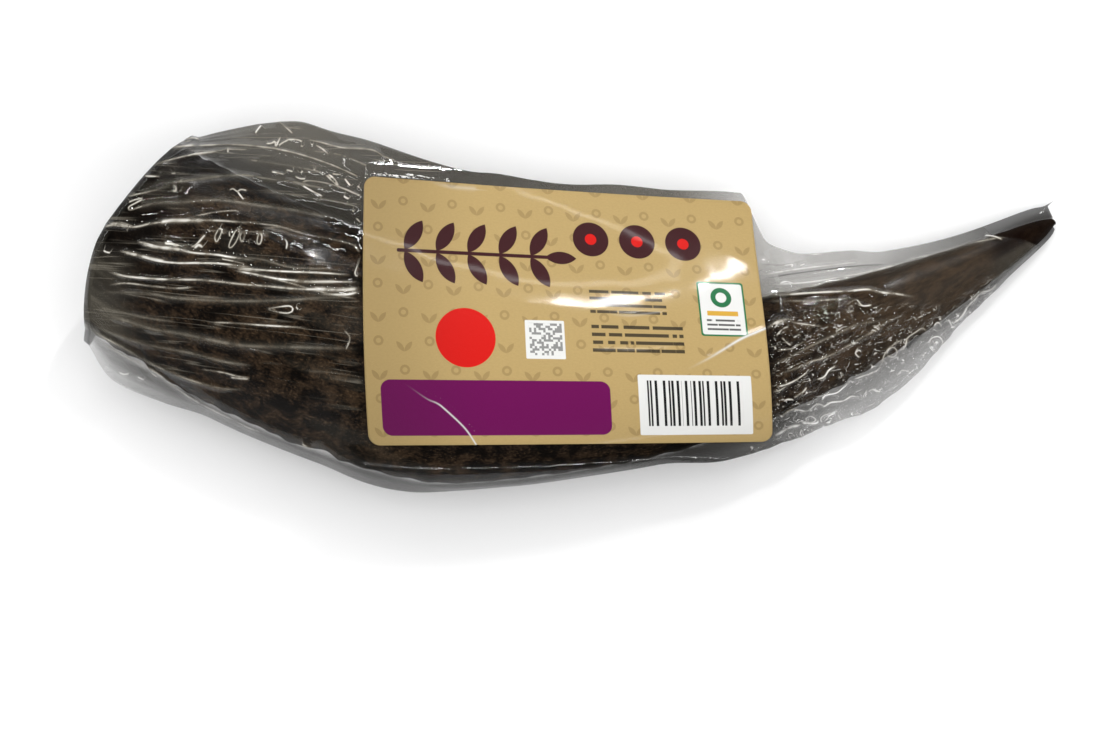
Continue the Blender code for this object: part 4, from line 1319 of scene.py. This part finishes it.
def card_material():
    """Satin kraft card with a plain print: a leaf sprig, discs, a band and panels, with painted highlights
    along its creases and painted shade towards its left edge.
    """
    n = Nodes("kraft_card")
    card = n.attribute("card", "Vector")
    across = n.parts(card)[0]
    fibre = n.noise(n.stretch(card, (1.2, 2.0, 1)), 1.0, 5, 0.65)
    colour = n.mix(n.ramp(fibre, 0.3, 0.75), tuple(0.93 * c for c in KRAFT[:3]) + (1,), KRAFT)
    # Small leaves and rings, tone on tone
    colour = n.mix(n.times(small_motifs(n, card), MOTIF_STRENGTH), colour, KRAFT_DARK)
    # A long sprig of paired leaves
    along_stem = n.vector("SUBTRACT", card, (*SPRIG_FOOT, 0))
    pair = n.vector("MODULO", n.vector("ABSOLUTE", along_stem), (LEAF_STEP, 99.0, 1.0))
    turned = n.stretch(pair, (1, 1, 1), (-0.97, 1.29, 0), (0, 0, math.radians(-60)))
    leaves = n.times(leaf(n, turned, *SIDE_LEAF), panel(n, card, *SPRIG_REACH))
    last = leaf(n, n.vector("SUBTRACT", card, (*SPRIG_END, 0)), *END_LEAF)
    sprig = n.highest(n.highest(panel(n, card, *SPRIG_STEM), last), leaves)
    colour = n.mix(sprig, colour, MAROON)
    for tone, *shape in CARD_PRINT:
        make = disc if len(shape) == 2 else panel
        colour = n.mix(make(n, card, *shape), colour, tone)
    # Plain bars of uneven width, and random squares
    first, second = (n.calc("SINE", n.times(across, often)) for often in BAR_WAVES)
    bars = n.times(n.ramp(n.plus(first, second), 0.05, 0.25), panel(n, card, *BARS))
    colour = n.mix(bars, colour, INK)
    squares = n.vector("FLOOR", n.vector("DIVIDE", card, (SQUARE_SIZE, SQUARE_SIZE, 1.0)))
    chance = n.add("TexWhiteNoise", {"Vector": squares}).outputs["Value"]
    speckle = n.times(n.ramp(chance, 0.49, 0.51), panel(n, card, *SQUARES))
    colour = n.mix(speckle, colour, INK)
    for box in RULED_BOXES:
        colour = n.mix(broken_rules(n, card, *box), colour, INK)
    # Painted highlights along the creases
    off, strength = n.parts(n.attribute("crease_highlight", "Vector"))[:2]
    line = n.calc("EXPONENT", n.times(n.times(off, off), CREASE_FALLS))
    colour = n.mix(n.times(line, strength, clamp=True), colour, WHITE)
    # Painted shade towards the card's left edge
    colour = n.mix(n.ramp(across, 0.0, CARD_SHADE_WIDTH, CARD_PAINTED_SHADE, 0.0), colour, INK)
    return n.principled({
        "Base Color": colour, "Roughness": 0.5, "Normal": n.bump(fibre, CARD_BUMP),
        "Specular IOR Level": 0.10, "Coat Weight": 0.13, "Coat Roughness": 0.07,
    })


def card_back_material():
    """The card's unprinted back and its cut edge."""
    n = Nodes("card_back")
    fibre = n.noise(n.add("TexCoord").outputs["Object"], 1400, 4, 0.6)
    colour = n.mix(fibre, CARD_BACK_DARK, CARD_BACK)
    return n.principled({"Base Color": colour, "Roughness": 0.8, "Normal": n.bump(fibre, 0.00005)})


FLOOR_COLOUR = (0.93, 0.93, 0.93, 1)
FLOOR_SIZE = 6.0
# A hair below the object, so that the two surfaces don't share a plane
FLOOR_HEIGHT = -0.05 * MM


def floor_material():
    n = Nodes("pale_floor")
    return n.principled({"Base Color": FLOOR_COLOUR, "Roughness": 0.9})


# Stage

def make_floor():
    bpy.ops.mesh.primitive_plane_add(size=FLOOR_SIZE, location=(0, 0, FLOOR_HEIGHT))
    floor = bpy.context.object
    floor.name = "floor"
    floor.data.materials.append(floor_material())


# Lights: name, place, size along and across in metres, watts, whether glossy surfaces mirror it
LIGHTS = (
    ("fill", (0.0, 0.0, 1.30), (3.0, 3.0), 34.0, False),
    ("strip_behind", (-0.10, 0.80, 0.75), (1.2, 0.02), 2.4, True),
    ("strip_front", (0.05, -1.00, 0.40), (1.0, 0.02), 1.3, True),
    ("strip_left", (-0.90, 0.15, 0.80), (0.7, 0.03), 1.0, True),
    ("strip_right", (0.90, -0.10, 0.80), (0.6, 0.03), 1.3, True),
    ("lamp_left", (-0.34, 0.26, 0.85), (0.04, 0.04), 0.15, True),
    ("lamp_right", (0.30, 0.24, 0.85), (0.04, 0.04), 0.15, True),
    ("lamp_card", (0.258, 0.60, 0.65), (0.02, 0.08), 1.5, True),
)
# The surroundings are bright low down and dark overhead
SKY_LOW = 0.24
SKY_OVERHEAD = 0.02
SKY_CHANGES = (0.35, 0.78)


def make_lights():
    for name, place, size, power, mirrored in LIGHTS:
        lamp = bpy.data.lights.new(name, "AREA")
        lamp.shape = "RECTANGLE"
        lamp.size, lamp.size_y = size
        lamp.energy = power
        made = bpy.data.objects.new(name, lamp)
        made.location = place
        made.rotation_euler = (-Vector(place)).to_track_quat("-Z", "Y").to_euler()
        made.visible_camera = False
        made.visible_glossy = mirrored
        bpy.context.scene.collection.objects.link(made)
    world = bpy.data.worlds.new("studio")
    world.use_nodes = True
    tree = world.node_tree
    direction = tree.nodes.new("ShaderNodeTexCoord").outputs["Generated"]
    split = tree.nodes.new("ShaderNodeSeparateXYZ")
    tree.links.new(direction, split.inputs[0])
    change = tree.nodes.new("ShaderNodeMapRange")
    change.interpolation_type = "SMOOTHSTEP"
    limits = (*SKY_CHANGES, SKY_LOW, SKY_OVERHEAD)
    for key, value in zip(("From Min", "From Max", "To Min", "To Max"), limits):
        change.inputs[key].default_value = value
    tree.links.new(split.outputs["Z"], change.inputs["Value"])
    tree.links.new(change.outputs["Result"], tree.nodes["Background"].inputs["Strength"])
    tree.nodes["Background"].inputs["Color"].default_value = (1, 1, 1, 1)
    bpy.context.scene.world = world


def make_camera():
    lens = bpy.data.cameras.new("camera")
    lens.sensor_width = SENSOR_MM
    lens.lens = FOCAL_PX / PICTURE_WIDTH_PX * SENSOR_MM
    lens.clip_start = 0.01
    made = bpy.data.objects.new("camera", lens)
    made.location = CAMERA_PLACE
    bpy.context.scene.collection.objects.link(made)
    bpy.context.scene.camera = made
    bpy.context.scene.view_settings.view_transform = "Standard"


def main():
    make_camera()
    make_lights()
    make_floor()
    horn = make_horn()
    horn.data.materials.append(horn_material())
    label = make_label()
    label.data.materials.append(card_material())
    label.data.materials.append(card_back_material())
    film = make_film()
    film.data.materials.append(film_material())
    pieces = ((horn, "horn", "horn"), (film, "film_sleeve", "clear_film"), (label, "label", "card"))
    for piece, node, slot in pieces:
        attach(piece, "root")
        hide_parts(node)


main()
